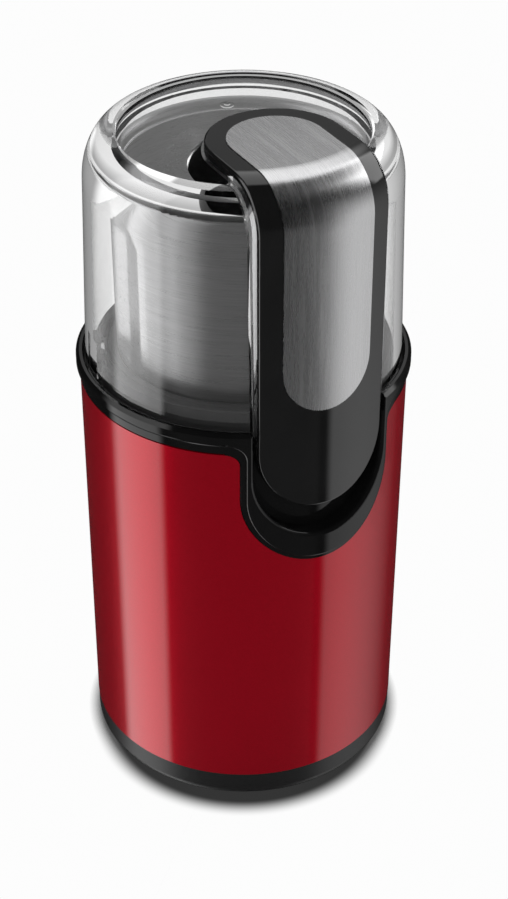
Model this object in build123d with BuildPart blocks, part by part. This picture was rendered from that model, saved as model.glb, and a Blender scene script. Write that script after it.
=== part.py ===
from build123d import *
from math import cos, radians, sin
import os

# Electric spice grinder, in millimetres. It stands on z = 0 with its axis on Z, and the lid's
# strap and the collar's pocket face -Y. "Azimuth" below is measured from the front, towards +X.

os.makedirs("parts", exist_ok=True)

# ---- Driving dimensions -------------------------------------------------------------------
GAP = 0.05  # seating gap between pieces of one body
RUN = 0.05  # radial running clearance of a shaft in its bush

# Painted shell
SHELL_BASE_R, SHELL_TOP_R = 48.8, 49.3
SHELL_BASE_Z, SHELL_TOP_Z = 10.4, 133.5
SHELL_WALL = 1.2
NOTCH_HALF, NOTCH_Z = 24.6, 118.1  # U notch for the pocket: half width, centre of its round end
NOTCH_CORNER_R = 3.5

# Base
BASE_R = 48.65
BASE_Z = 1.2  # underside, carried by the feet
BASE_FLOOR_Z = 3.6
BASE_ROUND = 3.0
SPIGOT_R, SPIGOT_TOP_Z = 47.4, 16.0
FOOT_R, FOOT_RING_R, FOOT_DEPTH = 5.5, 36.0, 1.4
CORD_Z, CORD_BORE_R, CORD_BUSH_R = 5.9, 2.9, 4.0

# Collar and pocket
LIP_R, LIP_BASE_Z, LIP_TOP_Z = 50.4, 136.9, 141.0
LIP_INNER_R = 48.1
NECK_R = 49.5
DECK_BASE_Z, DECK_TOP_Z = 131.0, 134.0
DECK_INNER_R = 44.3
POCKET_HALF, POCKET_Z = 21.0, 124.5
MOUTH_HALF, MOUTH_Z = 21.9, 135.7
RIDGE_HALF, RIDGE_CORNER_R = 23.2, 4.9
NOTCH_GAP = 0.15
BEZEL_ROUND, RIDGE_ROUND = 1.2, 0.7
POCKET_FLOOR_R, POCKET_BACK_R = 45.3, 43.2
FINGER_SLOT_HALF, FINGER_SLOT_Z = 5.3, 113.8

# Bowl seat
SEAT_R, SEAT_TOP_Z = 44.0, 145.5
WELL_R, WELL_Z, WELL_WALL_R = 41.2, 124.0, 43.0
INNER_WELL_R, INNER_WELL_Z = 26.0, 113.0
SEAT_FLOOR = 3.0
KEY_COUNT, KEY_WIDTH, KEY_R, KEYWAY_R = 3, 8.0, 41.9, 42.2
RIB_WIDTH, RIB_INNER_R, RIB_TOP_Z = 8.0, 43.0, 152.0
RIB_AZIMUTHS = (-100, 100, 180)
NOTCH_SEAT_R = 42.7

# Bowl and its plastic base
BOWL_FOOT_R, BOWL_TOP_R = 38.0, 38.5
BOWL_BASE_Z, BOWL_RIM_Z = 141.5, 202.0
BOWL_WALL = 0.9
RIM_R, RIM_THICK = 40.3, 1.0
FLUTES, FLUTE_FACE_R, FLUTE_HALF = 4, 35.9, 13.0
FLUTE_TOP_Z, FLUTE_AZIMUTH = 194.0, -11.5
BOWL_BASE_R, BOWL_BASE_TOP_Z = 40.6, 144.5

# Lid
LID_BASE_Z, LID_BASE_R = 139.6, 47.55
LID_SHOULDER_Z, LID_SHOULDER_R = 198.0, 46.0
CREST_R, CREST_Z = 36.8, 212.3
DISC_Z, DISC_R = 208.7, 36.2
LID_WALL = 2.4
SKIRT_R, SKIRT_WALL, SKIRT_BASE_Z = 36.6, 1.8, 199.5
PLINTH_Z, PLINTH_SLOPE = 213.0, 42.0
LID_CORNER = 1.8
PIP_PLACE, PIP_R = (5.9, 20.7), 2.0

# Strap over the lid, its tongue and its metal inlay
STRAP_HALF, STRAP_PAD_Y = 20.0, -19.0
STRAP_FACE_BASE_R, STRAP_FACE_TOP_R = 50.3, 49.7
STRAP_BEND_Z, STRAP_BEND_R, STRAP_TOP_Z = 202.5, 36.0, 216.2
TONGUE_Z, TONGUE_BACK_R = 133.2, 46.8
INLAY_HALF, INLAY_Z = 14.0, 160.1
INLAY_DEPTH, INLAY_PROUD = 0.6, 0.3
CHEEK_THICK, CHEEK_R = 1.1, 49.0
STRAP_ROUND = 0.8
ARC_PULL = 0.5523  # handle length of a Bezier curve that follows a quarter circle

# Press plunger and switch
STROKE = 3.5
FINGER_BASE_Z, FINGER_HALF, FINGER_Y = 120.0, 4.9, -44.5
NOSE_TOP_Z, NOSE_THICK, NOSE_Y = 119.95, 2.3, -46.0
SLIDER_HALF, SLIDER_BASE_Z, SLIDER_BACK_Y, SLIDER_FRONT_Y = 6.0, 107.5, -34.5, -42.5
SPRING_Y, SPRING_R, SPRING_WIRE_R = -38.6, 3.2, 0.35
SPRING_BASE_Z, SPRING_TOP_Z, SPRING_TURNS = 103.0, 116.4, 6
SWITCH_X0, SWITCH_X1, SWITCH_Y0, SWITCH_Y1 = -15.5, 12.5, -43.0, -32.8
SWITCH_Z0, SWITCH_Z1 = 76.6, 92.5
PIVOT_X, PIVOT_Z = 10.0, 93.9
FOOT_TIP_Z = 97.1
LEVER_ANGLE, LEVER_REACH, LEVER_HALF_WIDTH = 9.0, 19.6, 2.5
FOOT_X = -8.0
BUTTON_X, BUTTON_TIP_Z = 3.0, 94.6

BRACKET_Y0, BRACKET_Y1, BRACKET_TOP_Z = -32.6, -31.0, 118.0
BOSS_X, BOSS_Z = 15.5, 112.0

# Motor
SHAFT_R, SHAFT_BASE_Z, SHAFT_TOP_Z = 3.0, 14.0, 122.0
STATOR_Z0, STATOR_Z1, STATOR_X, STATOR_Y, STATOR_BORE_R = 54.0, 78.0, 54.0, 46.0, 16.5
ARMATURE_R, ARMATURE_SLOTS = 16.0, 12
WINDING_OVERHANG = 6.4
COMMUTATOR_R, COMMUTATOR_Z0, COMMUTATOR_Z1 = 10.0, 37.0, 46.5
UPPER_PLATE_Z, LOWER_PLATE_Z, PLATE_THICK = 99.0, 27.0, 1.5
BEARING_R, BEARING_CUP_R = 7.9, 9.5
MOUNT_RING_R, MOUNT_TOP_Z = 22.0, 103.0
BRUSH_Z = 40.1
FAN_R, FAN_Z0, FAN_Z1, FAN_BLADES = 24.0, 15.5, 25.5, 10

# Blade and coupling
BLADE_SHAFT_R = 2.5
BLADE_Z, BLADE_THICK, BLADE_REACH = 147.0, 1.4, 31.0
HUB_HOLE_R, BUSH_OUTER_R = 6.0, 5.0
STAR_POINTS, STAR_R, STAR_ROOT_R = 6, 7.5, 5.0


# ---- Helpers ------------------------------------------------------------------------------
def outline(*points, plane=Plane.XZ):
    """A closed, straight-sided outline; on Plane.XZ its points are (radius or x, height)."""
    with BuildSketch(plane) as face:
        with BuildLine():
            Polyline(*points, close=True)
        make_face()
    return face.sketch


def tongue_face(half, centre_z, top_z, plane=Plane.XZ):
    """The front view of a strip with a half-round lower end."""
    with BuildSketch(plane) as face:
        with Locations((0, centre_z)):
            Circle(half)
            Rectangle(2 * half, top_z - centre_z, align=(Align.CENTER, Align.MIN))
    return face.sketch


def notch_face(half, centre_z, corner_r, rim_z):
    """A tongue face whose sides flare out into a level rim with round corners."""
    with BuildSketch(Plane.XZ) as face:
        with Locations((0, centre_z)):
            Circle(half)
            Rectangle(2 * half, rim_z + 2 - centre_z, align=(Align.CENTER, Align.MIN))
        with Locations((0, rim_z - corner_r)):
            Rectangle(2 * (half + corner_r), corner_r + 2, align=(Align.CENTER, Align.MIN))
        with Locations(*[(side * (half + corner_r), rim_z - corner_r) for side in (-1, 1)]):
            Circle(corner_r, mode=Mode.SUBTRACT)
    return face.sketch


def sector(inner_r, outer_r, start, end, z=0):
    """A ring sector on a level plane, between two polar angles less than 180 degrees apart."""
    middle, reach = (start + end) / 2, 3 * outer_r
    with BuildSketch(Plane.XY.offset(z)) as face:
        Circle(outer_r)
        Circle(inner_r, mode=Mode.SUBTRACT)
        with BuildLine():
            corners = [(reach * cos(radians(a)), reach * sin(radians(a))) for a in (start, middle, end)]
            Polyline((0, 0), *corners, close=True)
        make_face(mode=Mode.INTERSECT)
    return face.sketch


def polar(azimuth):
    """Azimuth from the front to build123d's polar angle."""
    return azimuth - 90


def around(radius, azimuth, z):
    return (radius * sin(radians(azimuth)), -radius * cos(radians(azimuth)), z)


def on_drum(edge, radius, top_z):
    """Whether an edge lies on the front of a vertical drum, below top_z."""
    return all(
        abs((v.X ** 2 + v.Y ** 2) ** 0.5 - radius) < 0.02 and v.Y < -30 and v.Z < top_z
        for v in edge.vertices()
    )


def drum_piece(inner_r, outer_r, face, soft_r=0.0, top_z=160.0):
    """What a front outline cuts out of a vertical tube: one curved plate on the front.

    soft_r rounds its outer edges below top_z.
    """
    with BuildPart() as plate:
        revolve(outline((inner_r, 80), (outer_r, 80), (outer_r, 160), (inner_r, 160)), axis=Axis.Z)
        extrude(face, amount=60, mode=Mode.INTERSECT)
        if soft_r:
            fillet(plate.edges().filter_by(lambda e: on_drum(e, outer_r, top_z)), soft_r)
    return plate.part


def wall_and_bend(foot, shoulder, crown):
    """A straight wall from foot to shoulder that bends over, tangent, into a level crown."""
    foot, shoulder, crown = Vector(foot), Vector(shoulder), Vector(crown)
    rise = (shoulder - foot).normalized() * ARC_PULL * (crown.Y - shoulder.Y)
    reach = Vector(ARC_PULL * (shoulder.X - crown.X), 0)
    Line(foot, shoulder)
    Bezier(shoulder, shoulder + rise, crown + reach, crown)


def strap_section(offset, foot_z=100.0):
    """Half of the strap's face moved out by offset, closed down to the axis."""
    foot = (STRAP_FACE_BASE_R + offset, foot_z)
    crown = (STRAP_BEND_R, STRAP_TOP_Z + offset)
    with BuildSketch(Plane.XZ) as section:
        with BuildLine():
            wall_and_bend(foot, (STRAP_FACE_TOP_R + offset, STRAP_BEND_Z), crown)
            Polyline(crown, (0, crown[1]), (0, foot_z), foot)
        make_face()
    return section.sketch


def strap_layer(below, above, half, low_z):
    """A layer between two offsets from the strap's face, cut to a strip with round ends."""
    with BuildPart() as layer:
        revolve(strap_section(above), axis=Axis.Z)
        if below is not None:
            revolve(strap_section(below), axis=Axis.Z, mode=Mode.SUBTRACT)
        with BuildSketch(Plane.XY.offset(100)):
            with Locations((0, STRAP_PAD_Y)):
                Circle(half)
                Rectangle(2 * half, 60, align=(Align.CENTER, Align.MAX))
        extrude(amount=150, mode=Mode.INTERSECT)
        extrude(
            tongue_face(half, low_z, 240, Plane.XZ.offset(-10)), amount=80, mode=Mode.INTERSECT,
        )
    return layer.part


def on_strap_face(edge):
    """Whether an edge of the strap's filled outline lies round its face."""
    middle = edge @ 0.5
    radius = (middle.X ** 2 + middle.Y ** 2) ** 0.5
    beside = abs(abs(middle.X) - STRAP_HALF) < 0.01 and radius > STRAP_BEND_R
    pad_end = middle.Y > STRAP_PAD_Y and abs(middle.Z - STRAP_TOP_Z) < 0.01
    return radius > 20 and (beside or pad_end)


def keep(piece, name):
    """Label a finished sub-part and write it."""
    piece.part.label = name
    export_step(piece.part, f"parts/{name}.step")


# ---- Housing ------------------------------------------------------------------------------
with BuildPart() as housing_shell:
    revolve(
        outline(
            (SHELL_BASE_R, SHELL_BASE_Z), (SHELL_TOP_R, SHELL_TOP_Z),
            (SHELL_TOP_R - SHELL_WALL, SHELL_TOP_Z), (SHELL_BASE_R - SHELL_WALL, SHELL_BASE_Z),
        ),
        axis=Axis.Z,
    )
    extrude(
        notch_face(NOTCH_HALF, NOTCH_Z, NOTCH_CORNER_R, SHELL_TOP_Z), amount=60, mode=Mode.SUBTRACT,
    )
keep(housing_shell, "housing_shell")

with BuildPart() as feet:
    with PolarLocations(FOOT_RING_R, 4, start_angle=45):
        Cylinder(FOOT_R, BASE_Z + FOOT_DEPTH, align=(Align.CENTER, Align.CENTER, Align.MIN))
    fillet(feet.edges().group_by(Axis.Z)[0], 0.6)
keep(feet, "feet")

SCREW_R, SCREW_HOLE_R, SCREW_HEAD_R = 1.45, 1.5, 2.8
PILLAR_AZIMUTHS = (70, 150, 210, 290)
BASE_SCREW_R, BASE_BOSS_TOP_Z = 41.0, 15.9

with BuildPart() as base_cover:
    with BuildSketch(Plane.XZ):
        with BuildLine():
            Line((0, BASE_Z), (BASE_R - BASE_ROUND, BASE_Z))
            RadiusArc((BASE_R - BASE_ROUND, BASE_Z), (BASE_R, BASE_Z + BASE_ROUND), -BASE_ROUND)
            Polyline(
                (BASE_R, BASE_Z + BASE_ROUND), (BASE_R, SHELL_BASE_Z - GAP),
                (SPIGOT_R, SHELL_BASE_Z - GAP), (SPIGOT_R, SPIGOT_TOP_Z),
                (SPIGOT_R - 1.5, SPIGOT_TOP_Z), (SPIGOT_R - 1.5, BASE_FLOOR_Z), (0, BASE_FLOOR_Z),
                (0, BASE_Z),
            )
        make_face()
    revolve(axis=Axis.Z)
    with Locations(*[around(BASE_SCREW_R, a, BASE_Z + 1) for a in PILLAR_AZIMUTHS]):
        Cylinder(4.4, BASE_BOSS_TOP_Z - BASE_Z - 1, align=(Align.CENTER, Align.CENTER, Align.MIN))
    with Locations(*[around(BASE_SCREW_R, a, BASE_Z) for a in PILLAR_AZIMUTHS]):
        Cylinder(3.1, 6, align=(Align.CENTER, Align.CENTER, Align.MIN), mode=Mode.SUBTRACT)
        Cylinder(1.7, 20, align=(Align.CENTER, Align.CENTER, Align.MIN), mode=Mode.SUBTRACT)
    with PolarLocations(FOOT_RING_R, 4, start_angle=45):
        with Locations((0, 0, BASE_Z)):
            Cylinder(
                FOOT_R + GAP, FOOT_DEPTH + GAP, align=(Align.CENTER, Align.CENTER, Align.MIN),
                mode=Mode.SUBTRACT,
            )
    # air slots under the fan
    with BuildSketch(Plane.XY.offset(BASE_Z)):
        with PolarLocations(16, 10):
            SlotOverall(14, 2.6)
    extrude(amount=5, mode=Mode.SUBTRACT)
    # seat of the cord bush in the rear wall
    with Locations((0, 43.5, BASE_FLOOR_Z)):
        Box(12, 6, SHELL_BASE_Z - 0.3 - BASE_FLOOR_Z, align=(Align.CENTER, Align.CENTER, Align.MIN))
    with BuildSketch(Plane.XZ.offset(-38)):
        with Locations((0, CORD_Z)):
            Circle(CORD_BUSH_R + GAP)
    extrude(amount=-20, mode=Mode.SUBTRACT)
keep(base_cover, "base_cover")

with BuildPart() as cord_bush:
    # a flanged rubber tube pushed through the rear wall, open for the lead
    revolve(
        outline(
            (CORD_BORE_R, 41.0), (CORD_BUSH_R, 41.0), (CORD_BUSH_R, 49.2),
            (CORD_BORE_R + 0.4, 49.2), (CORD_BORE_R, 48.8), plane=Plane.XY.offset(CORD_Z),
        ),
        axis=Axis((0, 0, CORD_Z), (0, 1, 0)),
    )
keep(cord_bush, "cord_bush")

# The frame that the shell slides over: two rings joined by three pillars.
RING_OUTER_R, RING_INNER_R = 46.5, 43.5
FRAME_TOP_Z, FRAME_RING_Z = 127.9, 119.0
LUG_Z, LUG_THICK, LUG_R = 107.5, 4.0, 36.0

with BuildPart() as inner_frame:
    revolve(
        outline(
            (RING_INNER_R, SPIGOT_TOP_Z + GAP), (47.2, SPIGOT_TOP_Z + GAP), (47.2, 22.0),
            (RING_INNER_R, 22.0),
        ),
        axis=Axis.Z,
    )
    revolve(
        outline(
            (RING_INNER_R, FRAME_RING_Z), (RING_OUTER_R, FRAME_RING_Z),
            (RING_OUTER_R, FRAME_TOP_Z), (RING_INNER_R, FRAME_TOP_Z),
        ),
        axis=Axis.Z,
    )
    for azimuth in PILLAR_AZIMUTHS:
        middle = polar(azimuth)
        extrude(sector(42.0, RING_OUTER_R, middle - 8, middle + 8, 20), amount=FRAME_RING_Z - 18)
        with BuildSketch(Plane.XY.offset(LUG_Z).rotated((0, 0, middle))):
            with Locations((LUG_R, 0)):
                Circle(5)
                Rectangle(8, 10, align=(Align.MIN, Align.CENTER))
        extrude(amount=LUG_THICK)
    with Locations(*[around(BASE_SCREW_R, a, SPIGOT_TOP_Z + GAP) for a in PILLAR_AZIMUTHS]):
        Cylinder(4.4, 24, align=(Align.CENTER, Align.CENTER, Align.MIN))
        Cylinder(
            SCREW_HOLE_R, 20, align=(Align.CENTER, Align.CENTER, Align.MIN), mode=Mode.SUBTRACT,
        )
    with Locations(*[around(LUG_R, a, LUG_Z - 1) for a in PILLAR_AZIMUTHS]):
        Cylinder(1.7, 8, align=(Align.CENTER, Align.CENTER, Align.MIN), mode=Mode.SUBTRACT)
    # the front of the top ring is open for the pocket
    with Locations((0, -46, FRAME_RING_Z - 1)):
        Box(52, 24, 20, align=(Align.CENTER, Align.CENTER, Align.MIN), mode=Mode.SUBTRACT)
keep(inner_frame, "inner_frame")


def screws(places, length, head_r=SCREW_HEAD_R, head=2.4, shank_r=SCREW_R):
    """Pan-head screws, head down, standing at each (x, y, z) of the head's underside."""
    with BuildPart() as group:
        with Locations(*places):
            Cylinder(head_r, head, align=(Align.CENTER, Align.CENTER, Align.MIN))
            with Locations((0, 0, head)):
                Cylinder(shank_r, length, align=(Align.CENTER, Align.CENTER, Align.MIN))
            Box(
                2 * head_r - 1.4, 0.8, 0.9, align=(Align.CENTER, Align.CENTER, Align.MIN),
                mode=Mode.SUBTRACT,
            )
    return group


base_screws = screws([around(BASE_SCREW_R, a, BASE_Z + 6 - 2.4) for a in PILLAR_AZIMUTHS], 26)
keep(base_screws, "base_screws")
seat_screws = screws([around(LUG_R, a, LUG_Z - 2.4 - GAP) for a in PILLAR_AZIMUTHS], 11)
keep(seat_screws, "seat_screws")

with BuildPart() as collar:
    revolve(
        outline(
            (SHELL_TOP_R - SHELL_WALL - 0.1, SHELL_TOP_Z + GAP), (NECK_R - 0.6, SHELL_TOP_Z + GAP),
            (NECK_R, SHELL_TOP_Z + 0.6), (NECK_R, LIP_BASE_Z - 0.4), (LIP_R - 0.7, LIP_BASE_Z),
            (LIP_R, LIP_BASE_Z + 0.8), (LIP_R, LIP_TOP_Z - 1.0), (LIP_R - 1.0, LIP_TOP_Z),
            (LIP_INNER_R + 0.4, LIP_TOP_Z), (LIP_INNER_R, LIP_TOP_Z - 0.4),
            (LIP_INNER_R, DECK_TOP_Z), (DECK_INNER_R, DECK_TOP_Z), (DECK_INNER_R, DECK_BASE_Z),
            (46.9, DECK_BASE_Z), (46.9, 124.0), (47.8, 124.0), (47.95, DECK_BASE_Z),
        ),
        axis=Axis.Z,
    )
    # the plate that fills the shell's notch, and the ridge of the bezel on it
    add(drum_piece(POCKET_BACK_R, NECK_R, notch_face(
        NOTCH_HALF - NOTCH_GAP, NOTCH_Z, NOTCH_CORNER_R + NOTCH_GAP, SHELL_TOP_Z + NOTCH_GAP,
    )))
    add(drum_piece(POCKET_BACK_R, LIP_R, notch_face(
        RIDGE_HALF, NOTCH_Z, RIDGE_CORNER_R, LIP_BASE_Z,
    ), RIDGE_ROUND, LIP_BASE_Z + 0.1))
    # bosses behind the pocket for the switch bracket
    with Locations((-BOSS_X, BRACKET_Y0 - GAP, BOSS_Z), (BOSS_X, BRACKET_Y0 - GAP, BOSS_Z)):
        Cylinder(3, 10, rotation=(90, 0, 0), align=(Align.CENTER, Align.CENTER, Align.MIN))
        Cylinder(
            SCREW_HOLE_R, 7.5, rotation=(90, 0, 0), align=(Align.CENTER, Align.CENTER, Align.MIN),
            mode=Mode.SUBTRACT,
        )
    # the moat for the lid's skirt runs on behind the pocket, and the seat's wall stands inside it
    revolve(
        outline(
            (40, DECK_BASE_Z - GAP), (DECK_INNER_R, DECK_BASE_Z - GAP), (DECK_INNER_R, DECK_TOP_Z),
            (LIP_INNER_R, DECK_TOP_Z), (LIP_INNER_R, 150), (40, 150),
        ),
        axis=Axis.Z, mode=Mode.SUBTRACT,
    )
    # the pocket that takes the tongue, its wider mouth and the slot for the switch finger
    add(
        drum_piece(POCKET_FLOOR_R, 60, tongue_face(POCKET_HALF, POCKET_Z, 150)), mode=Mode.SUBTRACT,
    )
    with Locations((0, -49, MOUTH_Z)):
        Box(
            2 * MOUTH_HALF, 14, 10, align=(Align.CENTER, Align.CENTER, Align.MIN),
            mode=Mode.SUBTRACT,
        )
    with Locations((0, -44.5, FINGER_SLOT_Z)):
        Box(
            2 * FINGER_SLOT_HALF, 4, 30, align=(Align.CENTER, Align.CENTER, Align.MIN),
            mode=Mode.SUBTRACT,
        )
    pocket_rim = collar.edges().filter_by(
        lambda e: on_drum(e, LIP_R, MOUTH_Z + 0.1) and max(abs(v.X) for v in e.vertices()) < 21.1
    )
    fillet(pocket_rim, BEZEL_ROUND)
keep(collar, "collar")

with BuildPart() as bowl_seat:
    # stepped well for the bowl's base, with a flange that clamps the collar's deck from below
    revolve(
        outline(
            (8.05, INNER_WELL_Z - SEAT_FLOOR), (INNER_WELL_R + 2, INNER_WELL_Z - SEAT_FLOOR),
            (INNER_WELL_R + 2, WELL_Z - SEAT_FLOOR), (WELL_WALL_R, WELL_Z - SEAT_FLOOR),
            (WELL_WALL_R, DECK_BASE_Z - 3), (46.3, DECK_BASE_Z - 3), (46.3, DECK_BASE_Z - GAP),
            (SEAT_R, DECK_BASE_Z - GAP), (SEAT_R, SEAT_TOP_Z - 0.4), (SEAT_R - 0.4, SEAT_TOP_Z),
            (WELL_R + 0.4, SEAT_TOP_Z), (WELL_R, SEAT_TOP_Z - 0.4), (WELL_R, WELL_Z),
            (INNER_WELL_R, WELL_Z), (INNER_WELL_R, INNER_WELL_Z), (8.05, INNER_WELL_Z),
        ),
        axis=Axis.Z,
    )
    # the flange stops short of the pocket
    with Locations((0, -44, DECK_BASE_Z - 6)):
        Box(51, 20, 6, align=(Align.CENTER, Align.CENTER, Align.MIN), mode=Mode.SUBTRACT)
    with BuildSketch(Plane.XY.offset(DECK_BASE_Z - 6)):
        Circle(WELL_WALL_R)
        Circle(WELL_R, mode=Mode.SUBTRACT)
        with Locations((0, -44)):
            Rectangle(51, 20, mode=Mode.INTERSECT)
    extrude(amount=6)
    # hub for the shaft seal, bosses for the frame's screws and for the motor's rubber mounts
    revolve(outline((8.05, 105.5), (11.0, 105.5), (11.0, 111.0), (8.05, 111.0)), axis=Axis.Z)
    with Locations(*[around(LUG_R, a, LUG_Z + LUG_THICK + GAP) for a in PILLAR_AZIMUTHS]):
        Cylinder(4, 11, align=(Align.CENTER, Align.CENTER, Align.MIN))
        Cylinder(SCREW_HOLE_R, 9, align=(Align.CENTER, Align.CENTER, Align.MIN), mode=Mode.SUBTRACT)
    with PolarLocations(MOUNT_RING_R, 3, start_angle=polar(0)):
        with Locations((0, 0, MOUNT_TOP_Z)):
            Cylinder(4, INNER_WELL_Z - MOUNT_TOP_Z - 1, align=(Align.CENTER, Align.CENTER, Align.MIN))
            Cylinder(
                SCREW_HOLE_R, 6, align=(Align.CENTER, Align.CENTER, Align.MIN), mode=Mode.SUBTRACT,
            )
    # keyways for the bowl, open at the top
    for index in range(KEY_COUNT):
        middle = polar(360 / KEY_COUNT * index)
        with BuildSketch(Plane.XY.offset(WELL_Z).rotated((0, 0, middle))):
            with Locations((WELL_R - 1, 0)):
                Rectangle(KEYWAY_R - WELL_R + 1, KEY_WIDTH + 0.8, align=(Align.MIN, Align.CENTER))
        extrude(amount=40, mode=Mode.SUBTRACT)
    # notches outside for the lid's guide ribs
    for azimuth in RIB_AZIMUTHS:
        with BuildSketch(Plane.XY.offset(DECK_TOP_Z).rotated((0, 0, polar(azimuth)))):
            with Locations((NOTCH_SEAT_R, 0)):
                Rectangle(4, RIB_WIDTH + 1, align=(Align.MIN, Align.CENTER))
        extrude(amount=40, mode=Mode.SUBTRACT)
keep(bowl_seat, "bowl_seat")

with BuildPart() as shaft_seal:
    revolve(
        outline(
            (SHAFT_R + RUN, 107.0), (4.2, 106.2), (8.0, 106.2), (8.0, 112.0), (4.4, 112.0),
            (4.4, 109.4), (SHAFT_R + RUN, 108.4),
        ),
        axis=Axis.Z,
    )
keep(shaft_seal, "shaft_seal")

# ---- Press plunger, return spring and switch -------------------------------------------------
with BuildPart() as press_plunger:
    with Locations((0, (SLIDER_FRONT_Y + SLIDER_BACK_Y) / 2, SLIDER_BASE_Z)):
        Box(
            2 * SLIDER_HALF, SLIDER_BACK_Y - SLIDER_FRONT_Y, NOSE_TOP_Z - SLIDER_BASE_Z,
            align=(Align.CENTER, Align.CENTER, Align.MIN),
        )
    # nose under the lid's finger
    with Locations((0, SLIDER_FRONT_Y, NOSE_TOP_Z)):
        Box(
            2 * FINGER_HALF, SLIDER_FRONT_Y - NOSE_Y, NOSE_THICK,
            align=(Align.CENTER, Align.MAX, Align.MAX),
        )
    # arm and foot that reach down to the switch lever
    with Locations((-SLIDER_HALF, SPRING_Y, SLIDER_BASE_Z)):
        Box(4.2, 5.0, 2.5, align=(Align.MAX, Align.CENTER, Align.MIN))
    with Locations((FOOT_X, SPRING_Y, SLIDER_BASE_Z + 1)):
        Box(
            2.6, 5.0, SLIDER_BASE_Z + 1 - FOOT_TIP_Z - 1.3,
            align=(Align.CENTER, Align.CENTER, Align.MAX),
        )
    with Locations((FOOT_X, SPRING_Y, FOOT_TIP_Z + 1.3)):
        Cylinder(1.3, 5.0, rotation=(90, 0, 0))
    # bore for the return spring
    with Locations((0.5, SPRING_Y, SLIDER_BASE_Z)):
        Cylinder(
            SPRING_R + 0.55, SPRING_TOP_Z + 0.1 - SLIDER_BASE_Z,
            align=(Align.CENTER, Align.CENTER, Align.MIN), mode=Mode.SUBTRACT,
        )
keep(press_plunger, "press_plunger")


def coil_spring(length, radius, wire_r, turns):
    """A round-wire spring that stands on the origin."""
    rise = length - 2 * wire_r
    with BuildPart() as spring:
        with BuildLine(Plane.XY.offset(wire_r)) as coil:
            Helix(rise / turns, rise, radius - wire_r)
        with BuildSketch(Plane(coil.line @ 0, z_dir=coil.line % 0)):
            Circle(wire_r)
        sweep(path=coil.line, is_frenet=True)
    return spring.part


with BuildPart() as return_spring:
    with Locations((0.5, SPRING_Y, SPRING_BASE_Z)):
        add(coil_spring(SPRING_TOP_Z - SPRING_BASE_Z, SPRING_R, SPRING_WIRE_R, SPRING_TURNS))
keep(return_spring, "return_spring")

with BuildPart() as switch_bracket:
    # back plate, shelf for the spring and two guides for the plunger
    with Locations((-1.5, BRACKET_Y0, SWITCH_Z0)):
        Box(
            37, BRACKET_Y1 - BRACKET_Y0, BRACKET_TOP_Z - SWITCH_Z0,
            align=(Align.CENTER, Align.MIN, Align.MIN),
        )
    with Locations((1.75, BRACKET_Y0 + 0.5, SPRING_BASE_Z - 2)):
        Box(13.5, 9.6, 2 - GAP, align=(Align.CENTER, Align.MAX, Align.MIN))
    with Locations((0.5, SPRING_Y, SPRING_BASE_Z - 1)):
        Cylinder(SPRING_R - 2 * SPRING_WIRE_R - 0.3, 4, align=(Align.CENTER, Align.CENTER, Align.MIN))
    for side, low in ((1, SPRING_BASE_Z - 1), (-1, SLIDER_BASE_Z + 2.7)):
        with Locations((side * (SLIDER_HALF + 1.3), BRACKET_Y0 + 0.5, low)):
            Box(2, 9.6, BRACKET_TOP_Z - low, align=(Align.CENTER, Align.MAX, Align.MIN))
    # pegs through the switch
    for x in (SWITCH_X0 + 3, SWITCH_X1 - 3):
        with Locations((x, BRACKET_Y0 + 0.5, SWITCH_Z0 + 3.5)):
            Cylinder(1.5, 9, rotation=(90, 0, 0), align=(Align.CENTER, Align.CENTER, Align.MIN))
    with Locations((-BOSS_X, BRACKET_Y0, BOSS_Z), (BOSS_X, BRACKET_Y0, BOSS_Z)):
        Cylinder(1.7, 6, rotation=(90, 0, 0), mode=Mode.SUBTRACT)
keep(switch_bracket, "switch_bracket")

with BuildPart() as switch_screws:
    with Locations((-BOSS_X, BRACKET_Y1, BOSS_Z), (BOSS_X, BRACKET_Y1, BOSS_Z)):
        Cylinder(2.8, 1.8, rotation=(90, 0, 0), align=(Align.CENTER, Align.CENTER, Align.MAX))
        Cylinder(SCREW_R, 8, rotation=(90, 0, 0), align=(Align.CENTER, Align.CENTER, Align.MIN))
keep(switch_screws, "switch_screws")

with BuildPart() as switch_body:
    with Locations(((SWITCH_X0 + SWITCH_X1) / 2, (SWITCH_Y0 + SWITCH_Y1) / 2, SWITCH_Z0)):
        Box(
            SWITCH_X1 - SWITCH_X0, SWITCH_Y1 - SWITCH_Y0, SWITCH_Z1 - SWITCH_Z0,
            align=(Align.CENTER, Align.CENTER, Align.MIN),
        )
    fillet(switch_body.edges().filter_by(Axis.Y), 1.0)
    # ears and pin of the lever's pivot
    for y in (SPRING_Y - LEVER_HALF_WIDTH - 0.9, SPRING_Y + LEVER_HALF_WIDTH + 0.9):
        with Locations((PIVOT_X, y, SWITCH_Z1 - 0.5)):
            Box(3, 1.2, PIVOT_Z + 1.4 - SWITCH_Z1, align=(Align.CENTER, Align.CENTER, Align.MIN))
    with Locations((PIVOT_X, SPRING_Y, PIVOT_Z)):
        Cylinder(0.7, 2 * LEVER_HALF_WIDTH + 2, rotation=(90, 0, 0))
    # slot for the button, deep enough for its whole travel
    with Locations((BUTTON_X, SPRING_Y, SWITCH_Z1)):
        Box(2.8, 3.4, 10, mode=Mode.SUBTRACT)
    for x in (SWITCH_X0 + 3, SWITCH_X1 - 3):
        with Locations((x, SWITCH_Y1, SWITCH_Z0 + 3.5)):
            Cylinder(1.6, 30, rotation=(90, 0, 0), mode=Mode.SUBTRACT)
keep(switch_body, "switch_body")

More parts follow.
